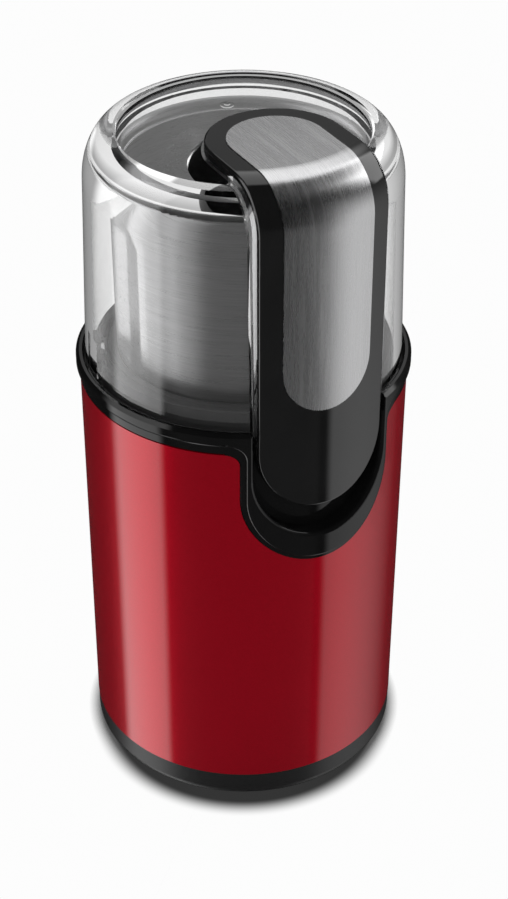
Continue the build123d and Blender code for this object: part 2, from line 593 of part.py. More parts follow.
with BuildPart() as switch_terminals:
    with Locations(*[(x, SPRING_Y, SWITCH_Z0 - GAP) for x in (-11, -1.5, 8)]):
        Box(0.8, 4.8, 7, align=(Align.CENTER, Align.CENTER, Align.MAX))
    with Locations(*[(x, SPRING_Y, SWITCH_Z0 - 4.5) for x in (-11, -1.5, 8)]):
        Cylinder(0.8, 4, rotation=(0, 90, 0), mode=Mode.SUBTRACT)
keep(switch_terminals, "switch_terminals")

with BuildPart() as switch_button:
    with Locations((BUTTON_X, SPRING_Y, SWITCH_Z1 - 2)):
        Box(2.4, 3.0, BUTTON_TIP_Z - SWITCH_Z1 + 2, align=(Align.CENTER, Align.CENTER, Align.MIN))
    fillet(switch_button.edges().group_by(Axis.Z)[-1].filter_by(Axis.Y), 0.6)
keep(switch_button, "switch_button")

with BuildPart() as switch_lever:
    # sprung strip with its end curled round the pivot pin
    tilt = Plane(
        (PIVOT_X, SPRING_Y, PIVOT_Z), z_dir=(0, -1, 0),
        x_dir=(-cos(radians(LEVER_ANGLE)), 0, sin(radians(LEVER_ANGLE))),
    )
    with BuildSketch(tilt):
        Circle(1.2)
        with Locations((0.9, 0)):
            Rectangle(LEVER_REACH, 0.5, align=(Align.MIN, Align.CENTER))
        Circle(0.7 + RUN, mode=Mode.SUBTRACT)
    extrude(amount=LEVER_HALF_WIDTH, both=True)
keep(switch_lever, "switch_lever")

# ---- Motor -----------------------------------------------------------------------------------
BOLT_PLACES = ((22.5, 18.0), (-22.5, -18.0))
POLE_HALF_ANGLE = 53.0  # each pole spans this far either side of the Y axis
COIL_INNER_R, COIL_OUTER_R, COIL_OVERHANG = 17.0, 21.8, 6.0
WINDOW_R = 22.0
LEG_X, LEG_THICK, LEG_HALF = 27.0, 1.5, 9.0
BRUSH_Y0, BRUSH_Y1, HOLDER_Y0, HOLDER_Y1 = 10.1, 21.0, 12.5, 27.6
CARRIER_Z, CARRIER_THICK = 33.5, 2.5

with BuildPart() as stator_core:
    with BuildSketch(Plane.XY.offset(STATOR_Z0)):
        RectangleRounded(STATOR_X, STATOR_Y, 8)
        Circle(STATOR_BORE_R, mode=Mode.SUBTRACT)
        with Locations(*BOLT_PLACES):
            Circle(2, mode=Mode.SUBTRACT)
    extrude(amount=STATOR_Z1 - STATOR_Z0)
    # windows for the coils, one each side
    side = 91 - POLE_HALF_ANGLE
    for middle in (0, 180):
        extrude(
            sector(STATOR_BORE_R - 0.5, WINDOW_R, middle - side, middle + side, STATOR_Z0),
            amount=STATOR_Z1 - STATOR_Z0, mode=Mode.SUBTRACT,
        )
keep(stator_core, "stator_core")

with BuildPart() as field_coils:
    # one bent loop of wire round each pole
    for middle in (90, 270):
        extrude(
            sector(COIL_INNER_R, COIL_OUTER_R, middle - 85, middle + 85, STATOR_Z0 - COIL_OVERHANG),
            amount=STATOR_Z1 - STATOR_Z0 + 2 * COIL_OVERHANG,
        )
        extrude(
            sector(
                COIL_INNER_R - 1, COIL_OUTER_R + 1, middle - POLE_HALF_ANGLE,
                middle + POLE_HALF_ANGLE, STATOR_Z0 - 0.1,
            ),
            amount=STATOR_Z1 - STATOR_Z0 + 0.2, mode=Mode.SUBTRACT,
        )
keep(field_coils, "field_coils")


def motor_bracket(plate_z, foot_z, cup_low_z, cup_top_z, plate_r, plate_half):
    """A pressed plate over one end of the stator, with two legs, their feet and a bearing cup."""
    low_z, high_z = min(plate_z + PLATE_THICK, foot_z), max(plate_z, foot_z + PLATE_THICK)
    with BuildPart() as bracket:
        with BuildSketch(Plane.XY.offset(plate_z)):
            Circle(plate_r)
            Rectangle(2 * LEG_X, 2 * plate_half)
        extrude(amount=PLATE_THICK)
        with Locations((0, 0, cup_low_z)):
            Cylinder(
                BEARING_CUP_R, cup_top_z - cup_low_z, align=(Align.CENTER, Align.CENTER, Align.MIN),
            )
        for x in (LEG_X - LEG_THICK / 2, LEG_THICK / 2 - LEG_X):
            with Locations((x, 0, low_z)):
                Box(
                    LEG_THICK, 2 * plate_half, high_z - low_z,
                    align=(Align.CENTER, Align.CENTER, Align.MIN),
                )
        with BuildSketch(Plane.XY.offset(foot_z)):
            with Locations((LEG_X - 2.35, 0), (2.35 - LEG_X, 0)):
                Rectangle(4.7, STATOR_Y - 4)
            with Locations(*BOLT_PLACES):
                Circle(3.5)
                Circle(2, mode=Mode.SUBTRACT)
        extrude(amount=PLATE_THICK)
    return bracket


UPPER_BEARING_Z, LOWER_BEARING_Z, BEARING_HEIGHT = 92.0, 28.6, 6.0

with BuildPart() as upper_bracket:
    add(motor_bracket(
        UPPER_PLATE_Z, STATOR_Z1 + GAP, UPPER_BEARING_Z - 1, UPPER_PLATE_Z + 0.5, 20.0, LEG_HALF,
    ).part)
    with BuildSketch(Plane.XY.offset(UPPER_PLATE_Z)):
        with PolarLocations(MOUNT_RING_R, 3, start_angle=polar(0)):
            Circle(7)
    extrude(amount=PLATE_THICK)
    with BuildSketch(Plane.XY.offset(UPPER_PLATE_Z)):
        with PolarLocations(MOUNT_RING_R, 3, start_angle=polar(0)):
            Circle(3)
    extrude(amount=PLATE_THICK, mode=Mode.SUBTRACT)
    revolve(
        outline(
            (0, 80), (5, 80), (5, UPPER_BEARING_Z - GAP), (BEARING_R + GAP, UPPER_BEARING_Z - GAP),
            (BEARING_R + GAP, 110), (0, 110),
        ),
        axis=Axis.Z, mode=Mode.SUBTRACT,
    )
keep(upper_bracket, "upper_bracket")

with BuildPart() as lower_bracket:
    add(motor_bracket(
        LOWER_PLATE_Z, STATOR_Z0 - PLATE_THICK - GAP, LOWER_PLATE_Z, 35.0, 24.0, 12.0,
    ).part)
    revolve(
        outline(
            (0, 20), (5, 20), (5, LOWER_BEARING_Z - GAP), (BEARING_R + GAP, LOWER_BEARING_Z - GAP),
            (BEARING_R + GAP, 45), (0, 45),
        ),
        axis=Axis.Z, mode=Mode.SUBTRACT,
    )
    # air windows round the cup
    for middle in (45, 135, 225, 315):
        extrude(
            sector(12.5, 21.5, middle - 26, middle + 26, LOWER_PLATE_Z), amount=PLATE_THICK,
            mode=Mode.SUBTRACT,
        )
keep(lower_bracket, "lower_bracket")


def bearing(low_z):
    """A sleeve bearing with rounded rims."""
    with BuildPart() as sleeve:
        with Locations((0, 0, low_z)):
            Cylinder(BEARING_R, BEARING_HEIGHT, align=(Align.CENTER, Align.CENTER, Align.MIN))
        chamfer(sleeve.edges(), 0.5)
        with Locations((0, 0, low_z)):
            Cylinder(
                SHAFT_R + RUN, BEARING_HEIGHT, align=(Align.CENTER, Align.CENTER, Align.MIN),
                mode=Mode.SUBTRACT,
            )
    return sleeve


upper_bearing = bearing(UPPER_BEARING_Z)
keep(upper_bearing, "upper_bearing")
lower_bearing = bearing(LOWER_BEARING_Z)
keep(lower_bearing, "lower_bearing")

with BuildPart() as brush_carrier:
    with BuildSketch(Plane.XY.offset(CARRIER_Z)):
        Circle(24)
        Circle(12.5, mode=Mode.SUBTRACT)
    extrude(amount=CARRIER_THICK)
    with Locations((0, 20, LOWER_PLATE_Z + PLATE_THICK + GAP), (0, -20, LOWER_PLATE_Z + PLATE_THICK + GAP)):
        Cylinder(
            3, CARRIER_Z - LOWER_PLATE_Z - PLATE_THICK,
            align=(Align.CENTER, Align.CENTER, Align.MIN),
        )
keep(brush_carrier, "brush_carrier")

with BuildPart() as brush_holders:
    # a brass tube each side, closed at its outer end
    for side in (1, -1):
        with Locations((0, side * (HOLDER_Y0 + HOLDER_Y1) / 2, BRUSH_Z)):
            Box(6, HOLDER_Y1 - HOLDER_Y0, 8)
        with Locations((0, side * (HOLDER_Y0 + HOLDER_Y1 - 1) / 2, BRUSH_Z)):
            Box(4.2, HOLDER_Y1 - HOLDER_Y0 - 1, 6.2, mode=Mode.SUBTRACT)
keep(brush_holders, "brush_holders")

with BuildPart() as carbon_brushes:
    for side in (1, -1):
        with Locations((0, side * (BRUSH_Y0 + BRUSH_Y1) / 2, BRUSH_Z)):
            Box(4, BRUSH_Y1 - BRUSH_Y0, 6)
    with Locations((0, 0, BRUSH_Z)):
        Cylinder(COMMUTATOR_R + 0.35, 10, mode=Mode.SUBTRACT)
keep(carbon_brushes, "carbon_brushes")

with BuildPart() as brush_springs:
    for side in (1, -1):
        with Locations(Plane((0, side * (BRUSH_Y1 + 0.1), BRUSH_Z), z_dir=(0, side, 0))):
            add(coil_spring(HOLDER_Y1 - 1.2 - BRUSH_Y1, 1.8, 0.25, 5))
keep(brush_springs, "brush_springs")

motor_bolts = screws([(x, y, STATOR_Z0 - PLATE_THICK - 2.4 - 2 * GAP) for x, y in BOLT_PLACES], 32)
keep(motor_bolts, "motor_bolts")

with BuildPart() as motor_nuts:
    with BuildSketch(Plane.XY.offset(STATOR_Z1 + PLATE_THICK + 2 * GAP)):
        with Locations(*BOLT_PLACES):
            RegularPolygon(2.9, 6)
            Circle(SCREW_R + GAP, mode=Mode.SUBTRACT)
    extrude(amount=2.2)
keep(motor_nuts, "motor_nuts")

with BuildPart() as rubber_mounts:
    # grommets in the upper bracket's ears, grooved for the plate
    with PolarLocations(MOUNT_RING_R, 3, start_angle=polar(0)):
        with Locations((0, 0, MOUNT_TOP_Z - GAP)):
            Cylinder(4.5, 2.4, align=(Align.CENTER, Align.CENTER, Align.MAX))
        with Locations((0, 0, UPPER_PLATE_Z - 2.0)):
            Cylinder(4.5, 2.0 - GAP, align=(Align.CENTER, Align.CENTER, Align.MIN))
            Cylinder(3 - GAP, 5.5, align=(Align.CENTER, Align.CENTER, Align.MIN))
            Cylinder(
                1.6, 8, align=(Align.CENTER, Align.CENTER, Align.MIN), mode=Mode.SUBTRACT,
            )
keep(rubber_mounts, "rubber_mounts")

mount_screws = screws(
    [around(MOUNT_RING_R, a, UPPER_PLATE_Z - 2.0 - 2.4 - GAP) for a in (0, 120, 240)], 11,
)
keep(mount_screws, "mount_screws")

# ---- Rotor -----------------------------------------------------------------------------------
with BuildPart() as motor_shaft:
    with Locations((0, 0, SHAFT_BASE_Z)):
        Cylinder(SHAFT_R, SHAFT_TOP_Z - SHAFT_BASE_Z, align=(Align.CENTER, Align.CENTER, Align.MIN))
    chamfer(motor_shaft.edges().filter_by(GeomType.CIRCLE), 0.4)
keep(motor_shaft, "motor_shaft")

SLOT_R, SLOT_WIDTH, SLOT_DEPTH, SLOT_MOUTH = 11.8, 4.2, 5.0, 1.4
WINDING_R, WINDING_INNER_R = 14.6, 4.0

with BuildPart() as armature_core:
    with BuildSketch(Plane.XY.offset(STATOR_Z0)):
        Circle(ARMATURE_R)
        Circle(SHAFT_R + 0.01, mode=Mode.SUBTRACT)
        with PolarLocations(SLOT_R, ARMATURE_SLOTS):
            RectangleRounded(SLOT_DEPTH, SLOT_WIDTH, 1.2, mode=Mode.SUBTRACT)
            Rectangle(8, SLOT_MOUTH, align=(Align.MIN, Align.CENTER), mode=Mode.SUBTRACT)
    extrude(amount=STATOR_Z1 - STATOR_Z0)
keep(armature_core, "armature_core")

with BuildPart() as armature_winding:
    # end turns above and below the core, joined by the wires in its slots
    for low_z in (STATOR_Z0 - 0.1 - WINDING_OVERHANG, STATOR_Z1 + 0.1):
        revolve(
            outline(
                (WINDING_INNER_R, low_z), (WINDING_R - 2, low_z), (WINDING_R, low_z + 2),
                (WINDING_R, low_z + WINDING_OVERHANG - 2), (WINDING_R - 2, low_z + WINDING_OVERHANG),
                (WINDING_INNER_R, low_z + WINDING_OVERHANG),
            ),
            axis=Axis.Z,
        )
    with BuildSketch(Plane.XY.offset(STATOR_Z0 - 1)):
        with PolarLocations(SLOT_R, ARMATURE_SLOTS):
            RectangleRounded(SLOT_DEPTH - 0.4, SLOT_WIDTH - 0.4, 1.0)
    extrude(amount=STATOR_Z1 - STATOR_Z0 + 2)
keep(armature_winding, "armature_winding")

with BuildPart() as commutator:
    revolve(
        outline(
            (SHAFT_R + 0.01, COMMUTATOR_Z0), (COMMUTATOR_R, COMMUTATOR_Z0),
            (COMMUTATOR_R, COMMUTATOR_Z1 - 2), (COMMUTATOR_R + 1, COMMUTATOR_Z1 - 2),
            (COMMUTATOR_R + 1, COMMUTATOR_Z1), (SHAFT_R + 0.01, COMMUTATOR_Z1),
        ),
        axis=Axis.Z,
    )
    with BuildSketch(Plane.XY.offset(COMMUTATOR_Z0)):
        with PolarLocations(COMMUTATOR_R - 0.8, ARMATURE_SLOTS, start_angle=15):
            Rectangle(4, 0.5, align=(Align.MIN, Align.CENTER))
    extrude(amount=COMMUTATOR_Z1 - COMMUTATOR_Z0, mode=Mode.SUBTRACT)
keep(commutator, "commutator")

with BuildPart() as cooling_fan:
    with Locations((0, 0, FAN_Z1)):
        Cylinder(FAN_R, 1.5, align=(Align.CENTER, Align.CENTER, Align.MAX))
        Cylinder(7, FAN_Z1 - FAN_Z0, align=(Align.CENTER, Align.CENTER, Align.MAX))
    with BuildSketch(Plane.XY.offset(FAN_Z0)):
        with PolarLocations(5, FAN_BLADES):
            Rectangle(FAN_R - 5.5, 1.2, rotation=8, align=(Align.MIN, Align.CENTER))
    extrude(amount=FAN_Z1 - FAN_Z0 - 1)
    with Locations((0, 0, FAN_Z0)):
        Cylinder(
            SHAFT_R + 0.01, 20, align=(Align.CENTER, Align.CENTER, Align.MIN), mode=Mode.SUBTRACT,
        )
keep(cooling_fan, "cooling_fan")

# ---- Bowl ------------------------------------------------------------------------------------
def bowl_body(shrink):
    """The bowl's round wall with its flutes, inset by shrink."""
    foot_r, top_r = BOWL_FOOT_R - shrink, BOWL_TOP_R - shrink
    low = BOWL_BASE_Z + shrink
    with BuildPart() as body:
        with BuildSketch(Plane.XZ):
            with BuildLine():
                Line((0, low), (foot_r - 4, low))
                RadiusArc((foot_r - 4, low), (foot_r, low + 4), -4)
                Polyline(
                    (foot_r, low + 4), (top_r, BOWL_RIM_Z - 4), (top_r, BOWL_RIM_Z + shrink),
                    (0, BOWL_RIM_Z + shrink), (0, low),
                )
            make_face()
        revolve(axis=Axis.Z)
        face_r, half = FLUTE_FACE_R - shrink, FLUTE_HALF + shrink
        with PolarLocations(0, FLUTES, start_angle=polar(FLUTE_AZIMUTH)):
            with Locations((face_r, 0, FLUTE_TOP_Z + shrink)):
                Box(
                    12, 2 * half, FLUTE_TOP_Z - BOWL_BASE_Z - 0.5 + shrink,
                    align=(Align.MIN, Align.CENTER, Align.MAX), mode=Mode.SUBTRACT,
                )
    return body.part


with BuildPart() as grinding_bowl:
    add(bowl_body(0))
    # turned-out rim with a rolled edge
    revolve(
        outline(
            (BOWL_TOP_R - 0.5, BOWL_RIM_Z - 2.6), (BOWL_TOP_R, BOWL_RIM_Z - 2.2),
            (RIM_R - 0.9, BOWL_RIM_Z - RIM_THICK), (RIM_R - 0.7, BOWL_RIM_Z - 1.5),
            (RIM_R, BOWL_RIM_Z - 1.1), (RIM_R, BOWL_RIM_Z - 0.4), (RIM_R - 0.5, BOWL_RIM_Z),
            (BOWL_TOP_R - 0.5, BOWL_RIM_Z),
        ),
        axis=Axis.Z,
    )
    add(bowl_body(BOWL_WALL), mode=Mode.SUBTRACT)
    with Locations((0, 0, BOWL_BASE_Z - 1)):
        Cylinder(
            HUB_HOLE_R, 4, align=(Align.CENTER, Align.CENTER, Align.MIN), mode=Mode.SUBTRACT,
        )
        with PolarLocations(20, 3, start_angle=30):
            Cylinder(1.7, 4, align=(Align.CENTER, Align.CENTER, Align.MIN), mode=Mode.SUBTRACT)
keep(grinding_bowl, "grinding_bowl")

with BuildPart() as bowl_base:
    # moulded cup under the bowl: skirt, floor and bearing hub
    floor_z = BOWL_BASE_Z - GAP
    revolve(
        outline(
            (BUSH_OUTER_R, 129.0), (8.5, 129.0), (8.5, floor_z - 4), (BOWL_BASE_R - 2.4, floor_z - 4),
            (BOWL_BASE_R - 2.4, WELL_Z + GAP), (BOWL_BASE_R, WELL_Z + GAP),
            (BOWL_BASE_R, BOWL_BASE_TOP_Z - 0.5), (BOWL_BASE_R - 0.5, BOWL_BASE_TOP_Z),
            (BOWL_FOOT_R + 0.3, BOWL_BASE_TOP_Z), (BOWL_FOOT_R - 0.25, floor_z + 1.9),
            (BOWL_FOOT_R - 1.6, floor_z + 0.3), (BOWL_FOOT_R - 4, floor_z), (BUSH_OUTER_R, floor_z),
        ),
        axis=Axis.Z,
    )
    # stiffening ribs under the floor and keys on the skirt
    for index in range(6):
        with BuildSketch(Plane.XY.offset(floor_z - 8).rotated((0, 0, 60 * index))):
            with Locations((8, 0)):
                Rectangle(BOWL_BASE_R - 10, 1.6, align=(Align.MIN, Align.CENTER))
        extrude(amount=5)
    for index in range(KEY_COUNT):
        with BuildSketch(Plane.XY.offset(WELL_Z + 1).rotated((0, 0, polar(360 / KEY_COUNT * index)))):
            with Locations((BOWL_BASE_R - 1, 0)):
                Rectangle(KEY_R - BOWL_BASE_R + 1, KEY_WIDTH, align=(Align.MIN, Align.CENTER))
        extrude(amount=10)
    with PolarLocations(20, 3, start_angle=30):
        with Locations((0, 0, floor_z - 10)):
            Cylinder(3.5, 8, align=(Align.CENTER, Align.CENTER, Align.MIN))
    with PolarLocations(20, 3, start_angle=30):
        with Locations((0, 0, floor_z - 8)):
            Cylinder(
                SCREW_HOLE_R, 12, align=(Align.CENTER, Align.CENTER, Align.MIN), mode=Mode.SUBTRACT,
            )
keep(bowl_base, "bowl_base")

with BuildPart() as bowl_rivets:
    # low round heads inside the bowl
    with PolarLocations(20, 3, start_angle=30):
        with Locations((0, 0, BOWL_BASE_Z + BOWL_WALL + GAP)):
            Cylinder(2.8, 1.0, align=(Align.CENTER, Align.CENTER, Align.MIN))
        with Locations((0, 0, BOWL_BASE_Z - 6)):
            Cylinder(SCREW_R, 7.5, align=(Align.CENTER, Align.CENTER, Align.MIN))
    fillet(bowl_rivets.edges().group_by(Axis.Z)[-1], 0.6)
keep(bowl_rivets, "bowl_rivets")

with BuildPart() as bowl_bush:
    revolve(
        outline(
            (BLADE_SHAFT_R + RUN, 129.2), (BUSH_OUTER_R - GAP, 129.2), (BUSH_OUTER_R - GAP, 140.6),
            (BLADE_SHAFT_R + RUN, 140.6),
        ),
        axis=Axis.Z,
    )
keep(bowl_bush, "bowl_bush")

with BuildPart() as bowl_seal:
    revolve(
        outline(
            (BLADE_SHAFT_R + RUN, 140.9), (4.9, 140.9), (4.9, 141.5), (HUB_HOLE_R - GAP, 141.5),
            (HUB_HOLE_R - GAP, 142.45),
            (8.2, 142.45), (8.2, 143.2), (5.2, 144.2), (BLADE_SHAFT_R + RUN, 144.2),
        ),
        axis=Axis.Z,
    )
keep(bowl_seal, "bowl_seal")

# ---- Blade and coupling --------------------------------------------------------------------
with BuildPart() as blade_shaft:
    revolve(
        outline(
            (0, 124.9), (BLADE_SHAFT_R, 124.9), (BLADE_SHAFT_R, 144.6), (4.2, 144.6),
            (4.2, BLADE_Z - GAP), (2.0, BLADE_Z - GAP), (2.0, 152.0), (1.6, 152.4), (0, 152.4),
        ),
        axis=Axis.Z,
    )
keep(blade_shaft, "blade_shaft")

with BuildPart() as blade:
    # a flat centre with one wing bent up and the other down, then cut to its pointed plan
    with BuildSketch(Plane.XZ.offset(-8)):
        with BuildLine():
            Polyline(
                (-BLADE_REACH, BLADE_Z - 1.6), (-13, BLADE_Z), (10, BLADE_Z), (BLADE_REACH, BLADE_Z + 5.6),
                (BLADE_REACH, BLADE_Z + 5.6 + BLADE_THICK), (10, BLADE_Z + BLADE_THICK),
                (-13, BLADE_Z + BLADE_THICK), (-BLADE_REACH, BLADE_Z - 1.6 + BLADE_THICK), close=True,
            )
        make_face()
    extrude(amount=16)
    with BuildSketch(Plane.XY.offset(BLADE_Z - 6)):
        Circle(8)
        for side in (1, -1):
            with BuildLine():
                Polyline(
                    (0, side * 6.5), (side * 9, side * 6.5), (side * BLADE_REACH, side * 1.0),
                    (side * (BLADE_REACH - 3), -side * 5.0), (side * 9, -side * 5.5),
                    (0, -side * 5.5), close=True,
                )
            make_face()
    extrude(amount=20, mode=Mode.INTERSECT)
    with Locations((0, 0, BLADE_Z - 1)):
        Cylinder(2.05, 6, align=(Align.CENTER, Align.CENTER, Align.MIN), mode=Mode.SUBTRACT)
keep(blade, "blade")

with BuildPart() as blade_nut:
    nut_z = BLADE_Z + BLADE_THICK + GAP
    with Locations((0, 0, nut_z)):
        Cylinder(5.5, 0.8, align=(Align.CENTER, Align.CENTER, Align.MIN))
    with BuildSketch(Plane.XY.offset(nut_z + 0.8)):
        RegularPolygon(4.2, 6)
    extrude(amount=3.6)
    with Locations((0, 0, nut_z + 4.4)):
        Sphere(3.2, arc_size1=0)
    with Locations((0, 0, nut_z - 1)):
        Cylinder(2.05, 5.2, align=(Align.CENTER, Align.CENTER, Align.MIN), mode=Mode.SUBTRACT)
keep(blade_nut, "blade_nut")


def star(tip_r, root_r, z):
    """The couplings' six-pointed section."""
    points = []
    for index in range(STAR_POINTS):
        for radius, turn in ((tip_r, -0.22), (tip_r, 0.22), (root_r, 0.5)):
            angle = radians(360 / STAR_POINTS * (index + turn))
            points.append((radius * cos(angle), radius * sin(angle)))
    return outline(*points, plane=Plane.XY.offset(z))


with BuildPart() as driven_coupling:
    with Locations((0, 0, 118.2)):
        Cylinder(10.6, 10.3, align=(Align.CENTER, Align.CENTER, Align.MIN))
    chamfer(driven_coupling.edges().group_by(Axis.Z)[-1], 1.0)
    extrude(star(STAR_R + 0.3, STAR_ROOT_R + 0.3, 118.0), amount=6.6, mode=Mode.SUBTRACT)
    with Locations((0, 0, 124)):
        Cylinder(
            BLADE_SHAFT_R + 0.01, 10, align=(Align.CENTER, Align.CENTER, Align.MIN),
            mode=Mode.SUBTRACT,
        )
keep(driven_coupling, "driven_coupling")

with BuildPart() as drive_coupling:
    with Locations((0, 0, INNER_WELL_Z + 1)):
        Cylinder(11, 3.2, align=(Align.CENTER, Align.CENTER, Align.MIN))
    extrude(star(STAR_R, STAR_ROOT_R, INNER_WELL_Z + 4), amount=6.4)
    with Locations((0, 0, INNER_WELL_Z)):
        Cylinder(
            SHAFT_R + 0.01, SHAFT_TOP_Z + 0.2 - INNER_WELL_Z,
            align=(Align.CENTER, Align.CENTER, Align.MIN), mode=Mode.SUBTRACT,
        )
keep(drive_coupling, "drive_coupling")

# ---- Lid -------------------------------------------------------------------------------------
with BuildPart() as plinth:
    # sloping plinth under the strap's pad, inside the lid's rim
    with BuildSketch(Plane.XY.offset(PLINTH_Z)):
        with Locations((0, STRAP_PAD_Y)):
            Circle(STRAP_HALF + 0.8)
            Rectangle(2 * (STRAP_HALF + 0.8), 30, align=(Align.CENTER, Align.MAX))
    extrude(amount=DISC_Z - PLINTH_Z - 0.5, taper=-PLINTH_SLOPE)
    with Locations((0, 0, DISC_Z - 1)):
        Cylinder(
            CREST_R - 0.1, 10, align=(Align.CENTER, Align.CENTER, Align.MIN), mode=Mode.INTERSECT,
        )

with BuildPart() as cheeks:
    # thin plates that stand beside the strap
    revolve(strap_section(CHEEK_R - STRAP_FACE_BASE_R, LID_BASE_Z + 0.1), axis=Axis.Z)
    with BuildSketch(Plane.XY.offset(100)):
        with Locations((STRAP_HALF + 0.1, -20)):
            Rectangle(CHEEK_THICK, 60, align=(Align.MIN, Align.MAX))
        with Locations((-STRAP_HALF - 0.1, -20)):
            Rectangle(CHEEK_THICK, 60, align=(Align.MAX, Align.MAX))
    extrude(amount=150, mode=Mode.INTERSECT)

with BuildPart() as lid_cover:
    with BuildSketch(Plane.XZ):
        with BuildLine():
            wall_and_bend(
                (LID_BASE_R, LID_BASE_Z + 0.6), (LID_SHOULDER_R, LID_SHOULDER_Z), (CREST_R, CREST_Z),
            )
            Polyline(
                (CREST_R, CREST_Z), (0, CREST_Z), (0, LID_BASE_Z), (LID_BASE_R - 0.6, LID_BASE_Z),
                (LID_BASE_R, LID_BASE_Z + 0.6),
            )
        make_face()
    revolve(axis=Axis.Z)
    add(cheeks.part)
    # recess of the disc in the top
    revolve(
        outline((0, DISC_Z), (DISC_R, DISC_Z), (DISC_R, CREST_Z - 0.6), (CREST_R, CREST_Z),
                (CREST_R, 230), (0, 230)),
        axis=Axis.Z, mode=Mode.SUBTRACT,
    )
    # hollow inside, round the skirt that plugs the bowl
    inner_top_z = DISC_Z - LID_WALL
    inner_side_r, inner_base_r = LID_SHOULDER_R - LID_WALL, LID_BASE_R - LID_WALL
    with BuildSketch(Plane.XZ):
        with BuildLine():
            Polyline(
                (0, LID_BASE_Z - 1), (inner_base_r, LID_BASE_Z - 1), (inner_base_r, LID_BASE_Z),
                (inner_side_r, LID_SHOULDER_Z), (inner_side_r, inner_top_z - LID_CORNER),
            )
            RadiusArc(
                (inner_side_r, inner_top_z - LID_CORNER), (inner_side_r - LID_CORNER, inner_top_z),
                -LID_CORNER,
            )
            Polyline(
                (inner_side_r - LID_CORNER, inner_top_z), (SKIRT_R, inner_top_z),
                (SKIRT_R, SKIRT_BASE_Z + 0.4), (SKIRT_R - 0.4, SKIRT_BASE_Z),
                (SKIRT_R - SKIRT_WALL, SKIRT_BASE_Z), (SKIRT_R - SKIRT_WALL, inner_top_z),
                (0, inner_top_z), (0, LID_BASE_Z - 1),
            )
        make_face()
    revolve(axis=Axis.Z, mode=Mode.SUBTRACT)
    add(plinth.part)
    # guide ribs inside the wall, which fit the seat's notches
    for azimuth in RIB_AZIMUTHS:
        with BuildSketch(Plane.XY.offset(LID_BASE_Z + 0.5).rotated((0, 0, polar(azimuth)))):
            with Locations((RIB_INNER_R, 0)):
                Rectangle(LID_BASE_R - 1 - RIB_INNER_R, RIB_WIDTH, align=(Align.MIN, Align.CENTER))
        extrude(amount=RIB_TOP_Z - LID_BASE_Z - 0.5)
    # moulding pip on the disc
    with Locations((*PIP_PLACE, DISC_Z)):
        Cylinder(PIP_R, 0.35, align=(Align.CENTER, Align.CENTER, Align.MIN))
        Cylinder(PIP_R / 2, 0.7, align=(Align.CENTER, Align.CENTER, Align.MIN))
keep(lid_cover, "lid_cover")

with BuildPart() as lid_strap:
    add(strap_layer(None, 0, STRAP_HALF, TONGUE_Z))
    face_outline = lid_strap.edges().filter_by(on_strap_face)
    fillet(face_outline, STRAP_ROUND)
    # the hollow that sits on the lid, and the back of the tongue below it
    with BuildSketch(Plane.XZ):
        with BuildLine():
            foot, crown = (LID_BASE_R + GAP, LID_BASE_Z - 0.4), (CREST_R, PLINTH_Z + GAP)
            wall_and_bend(foot, (LID_SHOULDER_R + GAP, LID_SHOULDER_Z), crown)
            Polyline(
                crown, (0, crown[1]), (0, 90), (TONGUE_BACK_R, 90), (TONGUE_BACK_R, foot[1]), foot,
            )
        make_face()
    revolve(axis=Axis.Z, mode=Mode.SUBTRACT)
    add(strap_layer(-INLAY_DEPTH, 2, INLAY_HALF, INLAY_Z), mode=Mode.SUBTRACT)
    # finger that presses the plunger's nose
    with Locations((0, FINGER_Y, FINGER_BASE_Z)):
        Box(
            2 * FINGER_HALF, 3, LID_BASE_Z - 0.6 - FINGER_BASE_Z,
            align=(Align.CENTER, Align.MAX, Align.MIN),
        )
keep(lid_strap, "lid_strap")

with BuildPart() as strap_inlay:
    add(strap_layer(GAP - INLAY_DEPTH, INLAY_PROUD, INLAY_HALF - GAP, INLAY_Z))
keep(strap_inlay, "strap_inlay")
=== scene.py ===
"""Looks of the electric spice grinder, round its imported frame.

Lengths are in metres, and the bowl's are in millimetres. The strap of the lid faces -Y. An azimuth
is measured in degrees from the front, towards +X.
"""

from math import atan2, cos, pi, radians, sin, sqrt

import bpy
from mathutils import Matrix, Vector


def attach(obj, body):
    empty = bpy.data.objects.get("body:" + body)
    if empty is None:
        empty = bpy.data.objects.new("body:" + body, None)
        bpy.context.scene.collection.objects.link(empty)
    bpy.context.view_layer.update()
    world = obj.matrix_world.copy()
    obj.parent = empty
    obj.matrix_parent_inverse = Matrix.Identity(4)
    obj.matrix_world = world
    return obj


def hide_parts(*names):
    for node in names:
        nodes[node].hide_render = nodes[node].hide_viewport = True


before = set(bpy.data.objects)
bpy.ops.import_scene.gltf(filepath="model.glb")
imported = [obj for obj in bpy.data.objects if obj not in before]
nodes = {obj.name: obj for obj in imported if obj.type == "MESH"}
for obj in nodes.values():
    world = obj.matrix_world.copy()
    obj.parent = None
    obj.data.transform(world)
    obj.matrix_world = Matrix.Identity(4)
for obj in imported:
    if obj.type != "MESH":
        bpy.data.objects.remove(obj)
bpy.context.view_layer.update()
MM = 0.001

# ---- Camera ------------------------------------------------------------------------------
CAMERA_AT = (-0.2488, -0.4544, 0.457)
CAMERA_DOWN, CAMERA_AZIMUTH = 34.42, -28.7  # degrees it looks down, and where it stands
SENSOR_HEIGHT, LENS, SHIFT_X = 36, 80.73, 0.0117
bpy.ops.object.camera_add(
    location=CAMERA_AT, rotation=(radians(90 - CAMERA_DOWN), 0, radians(CAMERA_AZIMUTH)),
)
camera = bpy.context.object
camera.data.sensor_fit = "VERTICAL"
camera.data.sensor_height = SENSOR_HEIGHT
camera.data.lens = LENS
camera.data.shift_x = SHIFT_X
bpy.context.scene.camera = camera
bpy.context.scene.view_settings.view_transform = "Standard"


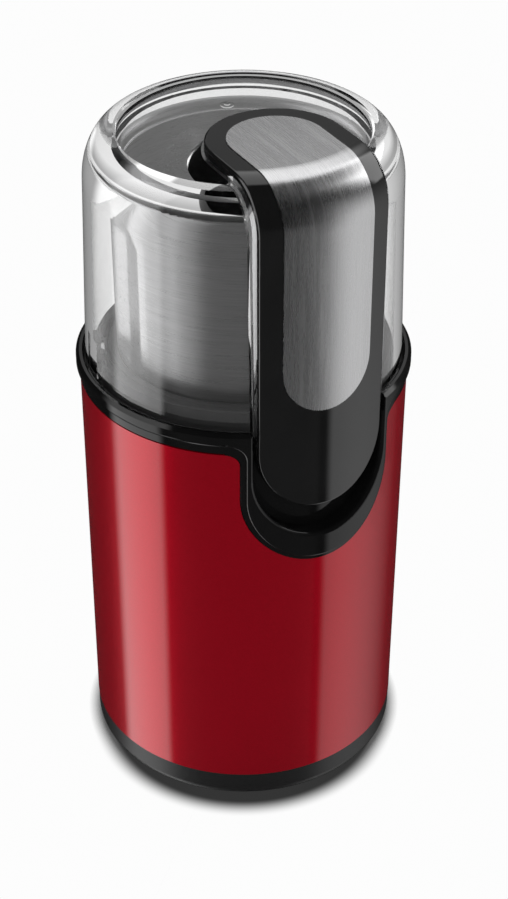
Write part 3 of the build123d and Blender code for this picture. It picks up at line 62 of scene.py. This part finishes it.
# ---- Mixing finishes ---------------------------------------------------------------------
def put(tree, kind, sockets=None, **settings):
    """Adds a shader node; a socket takes a value, or another node's output."""
    added = tree.nodes.new("ShaderNode" + kind)
    for setting, value in settings.items():
        setattr(added, setting, value)
    for socket, value in (sockets or {}).items():
        if isinstance(value, bpy.types.NodeSocket):
            tree.links.new(value, added.inputs[socket])
        else:
            added.inputs[socket].default_value = value
    return added


def finish(name, colour, roughness, metallic=0.0, **sockets):
    """A new finish; what is the same all over goes straight on the shader's sockets."""
    material = bpy.data.materials.new(name)
    material.use_nodes = True
    shader = material.node_tree.nodes["Principled BSDF"]
    shader.inputs["Base Color"].default_value = (*colour, 1)
    shader.inputs["Roughness"].default_value = roughness
    shader.inputs["Metallic"].default_value = metallic
    for socket, value in sockets.items():
        shader.inputs[socket.replace("_", " ")].default_value = value
    return material


def shader_of(material):
    """The one shader that a finish is made with."""
    return material.node_tree.nodes["Principled BSDF"]


def place(tree, scale=(1, 1, 1), turn=(0, 0, 0)):
    """Object coordinates, stretched and turned."""
    vector = put(tree, "TexCoord").outputs["Object"]
    return put(tree, "Mapping", {"Vector": vector, "Scale": scale, "Rotation": turn}).outputs[0]


def sums(tree, operation, first, second=0.0, third=0.0):
    """One step of arithmetic on values or outputs."""
    return put(tree, "Math", {0: first, 1: second, 2: third}, operation=operation).outputs[0]


def round_axis(tree, around, across):
    """Coordinates that run round the Z axis, for grain left by turning and polishing."""
    axes = put(tree, "SeparateXYZ", {0: put(tree, "TexCoord").outputs["Object"]}).outputs
    angle = sums(tree, "ARCTAN2", axes[1], axes[0])
    squares = [sums(tree, "MULTIPLY", axis, axis) for axis in (axes[0], axes[1])]
    radius = sums(tree, "SQRT", sums(tree, "ADD", *squares))
    parts = (
        sums(tree, "MULTIPLY", angle, around), sums(tree, "MULTIPLY", radius, across),
        sums(tree, "MULTIPLY", axes[2], across),
    )
    return put(tree, "CombineXYZ", dict(enumerate(parts))).outputs[0]


def grain(tree, vector, scale=1.0, detail=3.0, rough=0.55):
    """A cloudy pattern, or lines where its coordinates are stretched."""
    return put(tree, "TexNoise", {
        "Vector": vector, "Scale": scale, "Detail": detail, "Roughness": rough,
    }).outputs["Fac"]


def blend(tree, first, second, share):
    """Two patterns in one, the first by its share."""
    first = sums(tree, "MULTIPLY", first, share)
    return sums(tree, "ADD", first, sums(tree, "MULTIPLY", second, 1 - share))


def between(tree, value, low, high, start=0.25, end=0.75):
    """Spreads a pattern's middle range between two levels."""
    return put(tree, "MapRange", {
        "Value": value, "From Min": start, "From Max": end, "To Min": low, "To Max": high,
    }).outputs[0]


def shades(tree, value, dark, pale):
    """A colour between two shades."""
    mixed = put(tree, "Mix", {0: value, 6: (*dark, 1), 7: (*pale, 1)}, data_type="RGBA")
    return mixed.outputs[2]


def wear(material, value, dark, pale, rough, depth=0.0, distance=1e-4):
    """Gives a finish its uneven colour, its uneven gloss and its small relief."""
    tree, shader = material.node_tree, shader_of(material)
    colour = shades(tree, between(tree, value, 0, 1), dark, pale)
    tree.links.new(colour, shader.inputs["Base Color"])
    tree.links.new(between(tree, value, *rough), shader.inputs["Roughness"])
    if depth:
        relief = put(tree, "Bump", {"Height": value, "Strength": depth, "Distance": distance})
        tree.links.new(relief.outputs[0], shader.inputs["Normal"])


def mottled(name, dark, pale, rough, scale, metallic=0.0, depth=0.0, distance=1e-4, **sockets):
    """A finish with an even, fine mottle."""
    material = finish(name, pale, rough[0], metallic, **sockets)
    tree = material.node_tree
    wear(material, grain(tree, place(tree), scale, 4), dark, pale, rough, depth, distance)
    return material


def grey(level):
    """A barely cool grey."""
    return (level, level, level * 1.01)


def after(tree, kind, steps=1):
    """1 for light that was turned this way so many times or more between the camera and here."""
    depth = put(tree, "LightPath").outputs[kind + " Depth"]
    return sums(tree, "GREATER_THAN", depth, steps - 0.5)


def mirrored(tree):
    """1 for light on its way to a polished surface, 0 where the clear lid's own wall turned it."""
    passages = put(tree, "LightPath").outputs["Transmission Depth"]
    in_wall = sums(tree, "MODULO", passages, 2.0)
    return sums(tree, "MULTIPLY", after(tree, "Glossy"), sums(tree, "SUBTRACT", 1.0, in_wall))


# ---- Finishes ----------------------------------------------------------------------------
def red_metallic_paint():
    """Fine metal flake in red, under a clear coat."""
    paint = finish(
        "red_paint", (0.27, 0.0, 0.008), 0.4, 0.6, Coat_Weight=0.62, Coat_Roughness=0.07,
        Coat_IOR=1.5, Specular_IOR_Level=0.0,
    )
    tree = paint.node_tree
    flake = put(tree, "TexVoronoi", {"Vector": place(tree), "Scale": 4500.0})
    tone = put(tree, "SeparateColor", {0: flake.outputs["Color"]}).outputs[0]
    cloud = grain(tree, place(tree), 40, 3)
    wear(
        paint, blend(tree, tone, cloud, 0.7), (0.255, 0.0, 0.006), (0.295, 0.0, 0.008),
        (0.28, 0.34), 0.04, 2e-5,
    )
    return paint


def gloss_black(name, level, specular):
    """Polished black moulding with faint dust and a slow ripple."""
    return mottled(
        name, grey(level * 0.7), grey(level), (0.05, 0.09), 90, depth=0.02, distance=2e-5,
        Specular_IOR_Level=specular,
    )


def brushed_round_steel():
    """Steel sheet brushed round the bowl."""
    steel = finish("bowl_steel", (0.6, 0.6, 0.59), 0.3, 1.0, Anisotropic=0.7)
    tree = steel.node_tree
    fine = grain(tree, round_axis(tree, 2.2, 3000), 1, 3, 0.7)
    broad = grain(tree, round_axis(tree, 1.5, 700), 1, 2)
    wear(steel, blend(tree, fine, broad, 0.8), grey(0.36), grey(0.58), (0.24, 0.36), 0.16, 3e-5)
    # the sheen spreads across the grain, whichever way the sheet faces
    axes = put(tree, "SeparateXYZ", {0: put(tree, "TexCoord").outputs["Object"]}).outputs
    back = sums(tree, "MULTIPLY", axes[1], -1.0)
    along = put(tree, "CombineXYZ", {0: back, 1: axes[0]}).outputs[0]
    facing = put(tree, "NewGeometry").outputs["Normal"]
    across = put(tree, "VectorMath", {0: facing, 1: along}, operation="CROSS_PRODUCT").outputs[0]
    tree.links.new(across, shader_of(steel).inputs["Tangent"])
    return steel


def brushed_strip_metal():
    """Metal strip brushed along its length."""
    metal = finish("inlay_metal", (0.6, 0.6, 0.6), 0.35, 1.0, Anisotropic=0.75)
    tree = metal.node_tree
    fine = grain(tree, place(tree, (2200, 60, 60)), 1, 3, 0.7)
    broad = grain(tree, place(tree, (500, 22, 22)), 1, 2)
    wear(metal, blend(tree, fine, broad, 0.6), grey(0.4), grey(0.56), (0.22, 0.32), 0.25, 3e-5)
    across = put(tree, "CombineXYZ", {0: 1.0}).outputs[0]
    tree.links.new(across, shader_of(metal).inputs["Tangent"])
    return metal


def clear_moulding():
    """Clear rigid plastic that lets light through to what it covers."""
    clear = finish("clear_plastic", (1, 1, 1), 0.0, Transmission_Weight=1.0, IOR=1.49)
    tree = clear.node_tree
    haze = between(tree, grain(tree, place(tree), 60, 3), 0.0, 0.03, 0.5, 0.8)
    tree.links.new(haze, shader_of(clear).inputs["Roughness"])
    rays = put(tree, "LightPath").outputs
    # light that was mirrored once leaves straight, so none is caught in the wall
    out = put(tree, "BsdfTransparent").outputs[0]
    seen = put(tree, "MixShader", {
        0: rays["Is Reflection Ray"], 1: shader_of(clear).outputs[0], 2: out,
    }).outputs[0]
    through = put(tree, "BsdfTransparent", {"Color": (0.9, 0.9, 0.9, 1)}).outputs[0]
    mixed = put(tree, "MixShader", {0: rays["Is Shadow Ray"], 1: seen, 2: through})
    tree.links.new(mixed.outputs[0], tree.nodes["Material Output"].inputs["Surface"])
    return clear


def stripes(name, dark, pale, rough, period, laid_round=False):
    """Stacked sheets, or wires laid round the Z axis, seen as fine lines."""
    material = finish(name, pale, rough[0], 1.0)
    tree = material.node_tree
    axes = put(tree, "SeparateXYZ", {0: round_axis(tree, 0.0, 1.0)}).outputs
    way = sums(tree, "ADD", axes[1], axes[2]) if laid_round else axes[2]
    wave = sums(tree, "SINE", sums(tree, "MULTIPLY", way, 2 * pi / period))
    lines = sums(tree, "MULTIPLY_ADD", wave, 0.3, 0.5)
    speckle = sums(tree, "MULTIPLY", grain(tree, place(tree), 900, 3), 0.3)
    mixed = sums(tree, "SUBTRACT", sums(tree, "ADD", lines, speckle), 0.15)
    wear(material, mixed, dark, pale, rough, 0.5, 1e-4)
    return material


def ground_steel(name):
    """Steel ground across, as on a blade."""
    steel = finish(name, (0.62, 0.62, 0.61), 0.25, 1.0, Anisotropic=0.4)
    tree = steel.node_tree
    wear(
        steel, grain(tree, place(tree, (2500, 90, 400), (0, 0, 0.35)), 1, 3, 0.65),
        grey(0.48), grey(0.7), (0.18, 0.34), 0.2, 2e-5,
    )
    return steel


red_paint = red_metallic_paint()
strap_black = gloss_black("strap_black", 0.004, 0.45)
collar_black = gloss_black("collar_black", 0.003, 0.22)
base_black = mottled(
    "base_black", grey(0.006), grey(0.009), (0.3, 0.38), 1500, depth=0.03, distance=2e-5,
    Specular_IOR_Level=0.2,
)
satin_black = mottled(
    "satin_black", grey(0.012), grey(0.022), (0.35, 0.5), 1800, depth=0.15, distance=4e-5,
)
seat_grey = mottled(
    "seat_grey", grey(0.019), grey(0.023), (0.36, 0.42), 1600, depth=0.008, distance=2e-5,
    Specular_IOR_Level=0.18,
)
grey_plastic = mottled(
    "grey_plastic", grey(0.08), grey(0.11), (0.38, 0.5), 1500, depth=0.15, distance=3e-5,
)
white_plastic = mottled(
    "white_plastic", (0.66, 0.64, 0.58), (0.76, 0.74, 0.69), (0.35, 0.5), 700, depth=0.1,
)
rubber = mottled("rubber", grey(0.012), grey(0.03), (0.6, 0.8), 2200, depth=0.3, distance=6e-5)
bowl_steel = brushed_round_steel()
inlay_metal = brushed_strip_metal()
clear_plastic = clear_moulding()
blade_steel = ground_steel("blade_steel")
screw_steel = mottled(
    "screw_steel", (0.52, 0.53, 0.55), (0.68, 0.67, 0.63), (0.2, 0.34), 900, 1.0, 0.1, 3e-5,
)
bracket_steel = mottled(
    "bracket_steel", (0.46, 0.47, 0.48), (0.62, 0.62, 0.6), (0.28, 0.42), 260, 1.0, 0.1, 3e-5,
)
lamination_steel = stripes("lamination_steel", grey(0.1), grey(0.3), (0.35, 0.55), 0.6 * MM)
copper_wire = stripes(
    "copper_wire", (0.2, 0.06, 0.02), (0.66, 0.27, 0.11), (0.22, 0.42), 0.5 * MM, True,
)
copper_bars = mottled(
    "copper_bars", (0.5, 0.22, 0.1), (0.7, 0.36, 0.2), (0.2, 0.34), 500, 1.0, 0.1, 3e-5,
)
brass = mottled("brass", (0.6, 0.42, 0.16), (0.74, 0.58, 0.28), (0.22, 0.36), 600, 1.0, 0.1, 3e-5)
bronze = mottled(
    "bronze", (0.34, 0.2, 0.08), (0.56, 0.38, 0.19), (0.4, 0.6), 3000, 1.0, 0.4, 8e-5,
)
carbon = mottled("carbon", grey(0.02), grey(0.06), (0.4, 0.6), 2600, 0.2, 0.3, 5e-5)

WEARS = {
    red_paint: ["housing_shell"],
    strap_black: ["lid_strap"],
    collar_black: ["collar"],
    base_black: ["base_cover"],
    satin_black: [
        "inner_frame", "switch_bracket", "switch_body", "press_plunger", "bowl_base",
    ],
    seat_grey: ["bowl_seat"],
    grey_plastic: ["cooling_fan", "drive_coupling", "driven_coupling"],
    white_plastic: ["brush_carrier", "switch_button"],
    rubber: ["feet", "cord_bush", "shaft_seal", "rubber_mounts", "bowl_seal"],
    bowl_steel: ["grinding_bowl"],
    inlay_metal: ["strap_inlay"],
    clear_plastic: ["lid_cover"],
    blade_steel: ["blade", "blade_shaft"],
    screw_steel: [
        "base_screws", "seat_screws", "switch_screws", "mount_screws", "motor_bolts", "motor_nuts",
        "bowl_rivets", "blade_nut", "return_spring", "brush_springs", "switch_lever", "motor_shaft",
    ],
    bracket_steel: ["upper_bracket", "lower_bracket"],
    lamination_steel: ["stator_core", "armature_core"],
    copper_wire: ["field_coils", "armature_winding"],
    copper_bars: ["commutator"],
    brass: ["switch_terminals", "brush_holders"],
    bronze: ["upper_bearing", "lower_bearing", "bowl_bush"],
    carbon: ["carbon_brushes"],
}
for material, worn_by in WEARS.items():
    for name in worn_by:
        nodes[name].data.materials.clear()
        nodes[name].data.materials.append(material)


# ---- Working by hand ---------------------------------------------------------------------
def pick_only(piece):
    """Makes one object the selected and active one."""
    bpy.ops.object.select_all(action="DESELECT")
    piece.select_set(True)
    bpy.context.view_layer.objects.active = piece


def settle(piece):
    """Leaves a finished piece's place in its mesh."""
    pick_only(piece)
    bpy.ops.object.transform_apply(location=True, rotation=True, scale=True)


def pull_rings(rings, segments, name):
    """A turned skin, pulled up ring by ring from its first (radius, height), in millimetres."""
    bpy.ops.object.select_all(action="DESELECT")
    radius, height = rings[0]
    bpy.ops.mesh.primitive_circle_add(
        vertices=segments, radius=radius * MM, location=(0, 0, height * MM),
    )
    skin = bpy.context.object
    skin.name = name
    bpy.ops.object.mode_set(mode="EDIT")
    for new_radius, new_height in rings[1:]:
        bpy.ops.mesh.extrude_region_move(
            TRANSFORM_OT_translate={"value": (0, 0, (new_height - height) * MM)},
        )
        grow = new_radius / radius
        bpy.ops.transform.resize(value=(grow, grow, 1), center_override=(0, 0, 0))
        radius, height = new_radius, new_height
    bpy.ops.mesh.select_all(action="SELECT")
    # the turned-out rim, furthest from the middle, faces down, so "inside" is the cup's outside
    bpy.ops.mesh.normals_make_consistent(inside=True)
    bpy.ops.object.mode_set(mode="OBJECT")
    settle(skin)
    return skin


# ---- Bowl --------------------------------------------------------------------------------
BOWL_FOOT_R, BOWL_TOP_R, BOWL_BASE_Z, BOWL_RIM_Z = 38.0, 38.5, 141.5, 202.0
BOWL_CORNER, BOWL_WALL, BOWL_SEGMENTS, WALL_ROWS = 4.0, 0.9, 360, 48
BOWL_FLOOR_RADII = (6.0, 12, 26)
BOWL_STRAIGHT_Z = BOWL_RIM_Z - 4  # the wall widens up to here
BOWL_CURL_Z = BOWL_RIM_Z - 3.2  # and from here it turns out into the rim
BOWL_RIM = [(38.52, 199.4), (38.66, 200.2), (39.0, 200.8), (39.5, 201.05), (39.95, 201.1)]
FLUTE_AZIMUTHS = (-93.7, -3.7, 86.3, 176.3)
FLUTE_HALF_ANGLE, FLUTE_R, FLUTE_FULL_Z, FLUTE_TOP_Z, FLUTE_LOW_Z = 15.1, 35.7, 186.0, 194.0, 147.0
FLUTE_EDGE, FLUTE_VALLEY = 0.25, 1.0  # softness of the edges, and of the valley in degrees
FLUTE_MARGIN = 4  # degrees past a flute's edge where it is surely over
FLUTE_CLEAR = 2  # how far short of the wall nothing of its softness is left
LEAST_DEPTH = 1e-3


def wall_radius(z):
    """The outside of the wall between the flutes."""
    share = (z - BOWL_BASE_Z - BOWL_CORNER) / (BOWL_STRAIGHT_Z - BOWL_BASE_Z - BOWL_CORNER)
    return BOWL_FOOT_R + (BOWL_TOP_R - BOWL_FOOT_R) * min(max(share, 0), 1)


def flute_depth(azimuth, z):
    """How far a shallow V, run out at its ends, is pressed into the wall."""
    off = min(abs((azimuth - middle + 180) % 360 - 180) for middle in FLUTE_AZIMUTHS)
    if off > FLUTE_HALF_ANGLE + FLUTE_MARGIN:
        return 0.0
    off = sqrt(off * off + FLUTE_VALLEY ** 2)
    wall = wall_radius(z)
    half = radians(FLUTE_HALF_ANGLE)
    reach = sin(half) / (sin(half - radians(off)) / FLUTE_R + sin(radians(off)) / wall)
    run_out = (wall - FLUTE_R) / (FLUTE_TOP_Z - FLUTE_FULL_Z)
    depth = wall - reach - max(0.0, z - FLUTE_FULL_Z, FLUTE_LOW_Z - z) * run_out
    if depth <= -FLUTE_CLEAR:
        return 0.0
    # the depth or nothing, whichever is more, with a soft change between them
    return 0.5 * (depth + sqrt(depth * depth + 4 * FLUTE_EDGE ** 2))


corner = [
    (
        BOWL_FOOT_R - BOWL_CORNER + BOWL_CORNER * sin(radians(turn)),
        BOWL_BASE_Z + BOWL_CORNER - BOWL_CORNER * cos(radians(turn)),
    )
    for turn in range(0, 91, 15)
]
wall_low = BOWL_BASE_Z + BOWL_CORNER
wall_rows = [
    wall_low + (BOWL_CURL_Z - wall_low) * row / WALL_ROWS for row in range(1, WALL_ROWS + 1)
]
bowl = pull_rings(
    [(radius, BOWL_BASE_Z) for radius in BOWL_FLOOR_RADII] + corner
    + [(wall_radius(z), z) for z in wall_rows] + BOWL_RIM,
    BOWL_SEGMENTS, "pressed_bowl",
)
pressed = bowl.vertex_groups.new(name="pressed")
deepest = BOWL_TOP_R - FLUTE_R
for vertex in bowl.data.vertices:
    x, y, z = vertex.co / MM
    if wall_low - BOWL_CORNER / 2 < z < BOWL_CURL_Z:
        depth = flute_depth(atan2(x, -y) * 180 / pi, z)
        if depth > LEAST_DEPTH:
            pressed.add([vertex.index], min(1.0, depth / deepest), "REPLACE")
pick_only(bowl)
dent = bowl.modifiers.new("flutes", "DISPLACE")
dent.vertex_group = "pressed"
dent.mid_level = 0.0
dent.strength = -deepest * MM
bpy.ops.object.modifier_apply(modifier="flutes")
sheet = bowl.modifiers.new("sheet", "SOLIDIFY")
sheet.thickness = BOWL_WALL * MM
sheet.offset = -1.0
bpy.ops.object.modifier_apply(modifier="sheet")
bpy.ops.object.shade_smooth_by_angle(angle=radians(40))
bowl.data.materials.append(bowl_steel)
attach(bowl, "bowl")
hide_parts("grinding_bowl")

# ---- Floor -------------------------------------------------------------------------------
FLOOR_SIZE = 12
# painted contact shade: how near the foot it reaches, and how dark it gets
CONTACT_WIDTH, CONTACT_DARK = 0.005, 0.1
SHADOW_SHIFT = (0.0029, 0.0052, 0.0)  # how far the painted shadow, a dark disc, falls to the left and forward
SHADOW_CORE, SHADOW_EDGE = 0.0438, 0.0512
SHADOW_DARK, FLOOR_WHITE = 0.035, 0.98
LOST_IN_MIRRORS = 0.45  # how much less of the floor's lightness is mirrored
bpy.ops.object.select_all(action="DESELECT")
bpy.ops.mesh.primitive_plane_add(size=FLOOR_SIZE, location=(0, 0, 0))
floor = bpy.context.object
floor.name = "floor"
floor_look = finish("floor", (0.9, 0.9, 0.9), 0.9, Specular_IOR_Level=0.0)
under = floor_look.node_tree
# seen directly it is white, down to a painted soft shadow, a dark disc set forward of the foot, and
# painted contact shade right beside the foot
closeness = put(under, "AmbientOcclusion", {"Distance": CONTACT_WIDTH}, samples=16).outputs["AO"]
# painted contact shade: the floor's emission is darkened where the foot is close
painted_contact_shade = between(under, closeness, CONTACT_DARK, 1.0, 0.5, 1.0)
place_on_floor = put(under, "Mapping", {
    "Vector": put(under, "TexCoord").outputs["Object"], "Location": SHADOW_SHIFT,
}).outputs[0]
away = put(under, "VectorMath", {0: place_on_floor}, operation="LENGTH").outputs["Value"]
# painted shadow: the floor's lightness falls towards a dark core round the shifted middle
painted_shadow = put(under, "MapRange", {
    "Value": away, "From Min": SHADOW_CORE, "From Max": SHADOW_EDGE,
    "To Min": SHADOW_DARK, "To Max": FLOOR_WHITE,
}, interpolation_type="SMOOTHSTEP").outputs[0]
lightness = sums(under, "MINIMUM", painted_contact_shade, painted_shadow)
kept = sums(under, "MULTIPLY_ADD", after(under, "Glossy"), -LOST_IN_MIRRORS, 1.0)
lightness = sums(under, "MULTIPLY", lightness, kept)
seen = put(under, "Emission", {"Strength": lightness}).outputs[0]
clear = put(under, "BsdfTransparent").outputs[0]
lit = put(under, "MixShader", {
    0: after(under, "Diffuse"), 1: seen, 2: shader_of(floor_look).outputs[0],
}).outputs[0]
lit = put(under, "MixShader", {0: mirrored(under), 1: lit, 2: clear}).outputs[0]
under.links.new(lit, under.nodes["Material Output"].inputs["Surface"])
floor.data.materials.append(floor_look)
floor.visible_glossy = False

# ---- Studio ------------------------------------------------------------------------------
# each panel: azimuths, heights and level; each pair of angles is where an edge starts and ends
PANELS = (
    ((-138, -127, -92, -85), (-85, -70, 50, 62), 2.6),  # left softbox and its bounce
    ((29, 36, 44, 115), (-80, -60, -14, 40), 1.18),  # bounce on the right
    ((66, 72, 116, 124), (18, 21, 44, 48), 3.6),  # right softbox
    ((100, 120, 180, 181), (4, 12, 28, 36), 0.3),  # back wall
    ((-88, -70, 22, 27), (-75, -60, -12, 0), 0.08),  # floor in front
)
PANELS_BESIDE_BOWL = (
    ((-156, -150, -144, -118), (-85, -70, 50, 62), 1.5),
    ((-101, -88, -80, -60), (-85, -70, 50, 62), 0.4),
    ((-181, -180, -168, -158), (-85, -70, 50, 62), 0.4),
)
DARK_STUDIO = 0.02  # between the panels
LID_LAMP_WAY, LID_LAMP_EDGE, LID_LAMP_CORE, LID_LAMP = (0.287, 0.497, 0.819), 26, 20, 1.7
THROUGH_LID, THROUGH_LID_MORE = 0.26, 0.12  # share of the studio's light, and what is added
IN_WALL, IN_WALL_MORE = 0.25, 0.42  # the same for light that the lid's wall turned
ON_MATT = 0.5  # the even light that matt pieces get
WHITE = (1, 1, 1, 1)

world = bpy.data.worlds.new("studio")
bpy.context.scene.world = world
world.use_nodes = True
world.cycles.sampling_method = "NONE"
sky = world.node_tree
way = put(sky, "SeparateXYZ", {0: put(sky, "TexCoord").outputs["Generated"]}).outputs
azimuth = sums(sky, "ARCTAN2", way[0], sums(sky, "MULTIPLY", way[1], -1.0))
height = sums(sky, "ARCSINE", way[2])


def edge(value, start, end):
    """Rises from 0 to 1 between two angles in degrees, or falls where end comes first."""
    low, high = (start, end) if start < end else (end, start)
    levels = (0.0, 1.0) if start < end else (1.0, 0.0)
    return put(sky, "MapRange", {
        "Value": value, "From Min": radians(low), "From Max": radians(high),
        "To Min": levels[0], "To Max": levels[1],
    }, interpolation_type="SMOOTHSTEP").outputs[0]


def panel(sideways, upright, strength):
    """A soft-edged panel of light; each side is (from dark, to full, full until, dark again)."""
    lit = strength
    for value, (a, b, c, d) in ((azimuth, sideways), (height, upright)):
        lit = sums(sky, "MULTIPLY", lit, edge(value, a, b))
        lit = sums(sky, "MULTIPLY", lit, edge(value, d, c))
    return lit


glow = DARK_STUDIO
for sideways, upright, strength in PANELS:
    glow = sums(sky, "ADD", glow, panel(sideways, upright, strength))
overhead = put(sky, "VectorMath", {
    0: put(sky, "TexCoord").outputs["Generated"], 1: LID_LAMP_WAY,
}, operation="DOT_PRODUCT").outputs["Value"]
lid_lamp = put(sky, "MapRange", {
    "Value": overhead, "From Min": cos(radians(LID_LAMP_EDGE)),
    "From Max": cos(radians(LID_LAMP_CORE)), "To Min": 0.0, "To Max": LID_LAMP,
}).outputs[0]
glow = sums(sky, "ADD", glow, lid_lamp)
# what the bowl and the inner walls of the lid mirror is dimmer and more even
dimmed = sums(sky, "MULTIPLY_ADD", glow, THROUGH_LID, THROUGH_LID_MORE)
for sideways, upright, strength in PANELS_BESIDE_BOWL:
    dimmed = sums(sky, "ADD", dimmed, panel(sideways, upright, strength))
through_lid = after(sky, "Transmission", 2)
glow = put(sky, "Mix", {0: through_lid, 2: glow, 3: dimmed}, data_type="FLOAT").outputs[0]
soft = put(sky, "Background", {"Color": WHITE, "Strength": ON_MATT}).outputs[0]
studio = put(sky, "Background", {"Color": WHITE, "Strength": glow}).outputs[0]
in_wall = sums(sky, "MULTIPLY_ADD", glow, IN_WALL, IN_WALL_MORE)
backdrop = put(
    sky, "Mix", {0: after(sky, "Glossy"), 2: 1.0, 3: in_wall}, data_type="FLOAT",
).outputs[0]
seen = put(sky, "Background", {"Color": WHITE, "Strength": backdrop}).outputs[0]
lit = put(sky, "MixShader", {0: mirrored(sky), 1: seen, 2: studio}).outputs[0]
lit = put(sky, "MixShader", {0: after(sky, "Diffuse"), 1: lit, 2: soft}).outputs[0]
sky.links.new(lit, sky.nodes["World Output"].inputs["Surface"])

# ---- Lamps, which light without being mirrored -------------------------------------------
LAMPS_AIM_AT = (0, 0, 0.1)
for name, location, size, power in (
    ("front_lamp", (-0.7, -1.2, 1.3), 0.9, 18),
    ("right_lamp", (1.3, -0.4, 0.9), 0.9, 8),
    ("top_lamp", (0.1, 0.3, 1.6), 0.8, 14),
):
    bpy.ops.object.light_add(type="AREA", location=location)
    lamp = bpy.context.object
    lamp.name = name
    lamp.data.shape = "RECTANGLE"
    lamp.data.size = lamp.data.size_y = size
    lamp.data.energy = power
    aim = Vector(LAMPS_AIM_AT) - Vector(location)
    lamp.rotation_euler = aim.to_track_quat("-Z", "Y").to_euler()
    lamp.visible_glossy = False
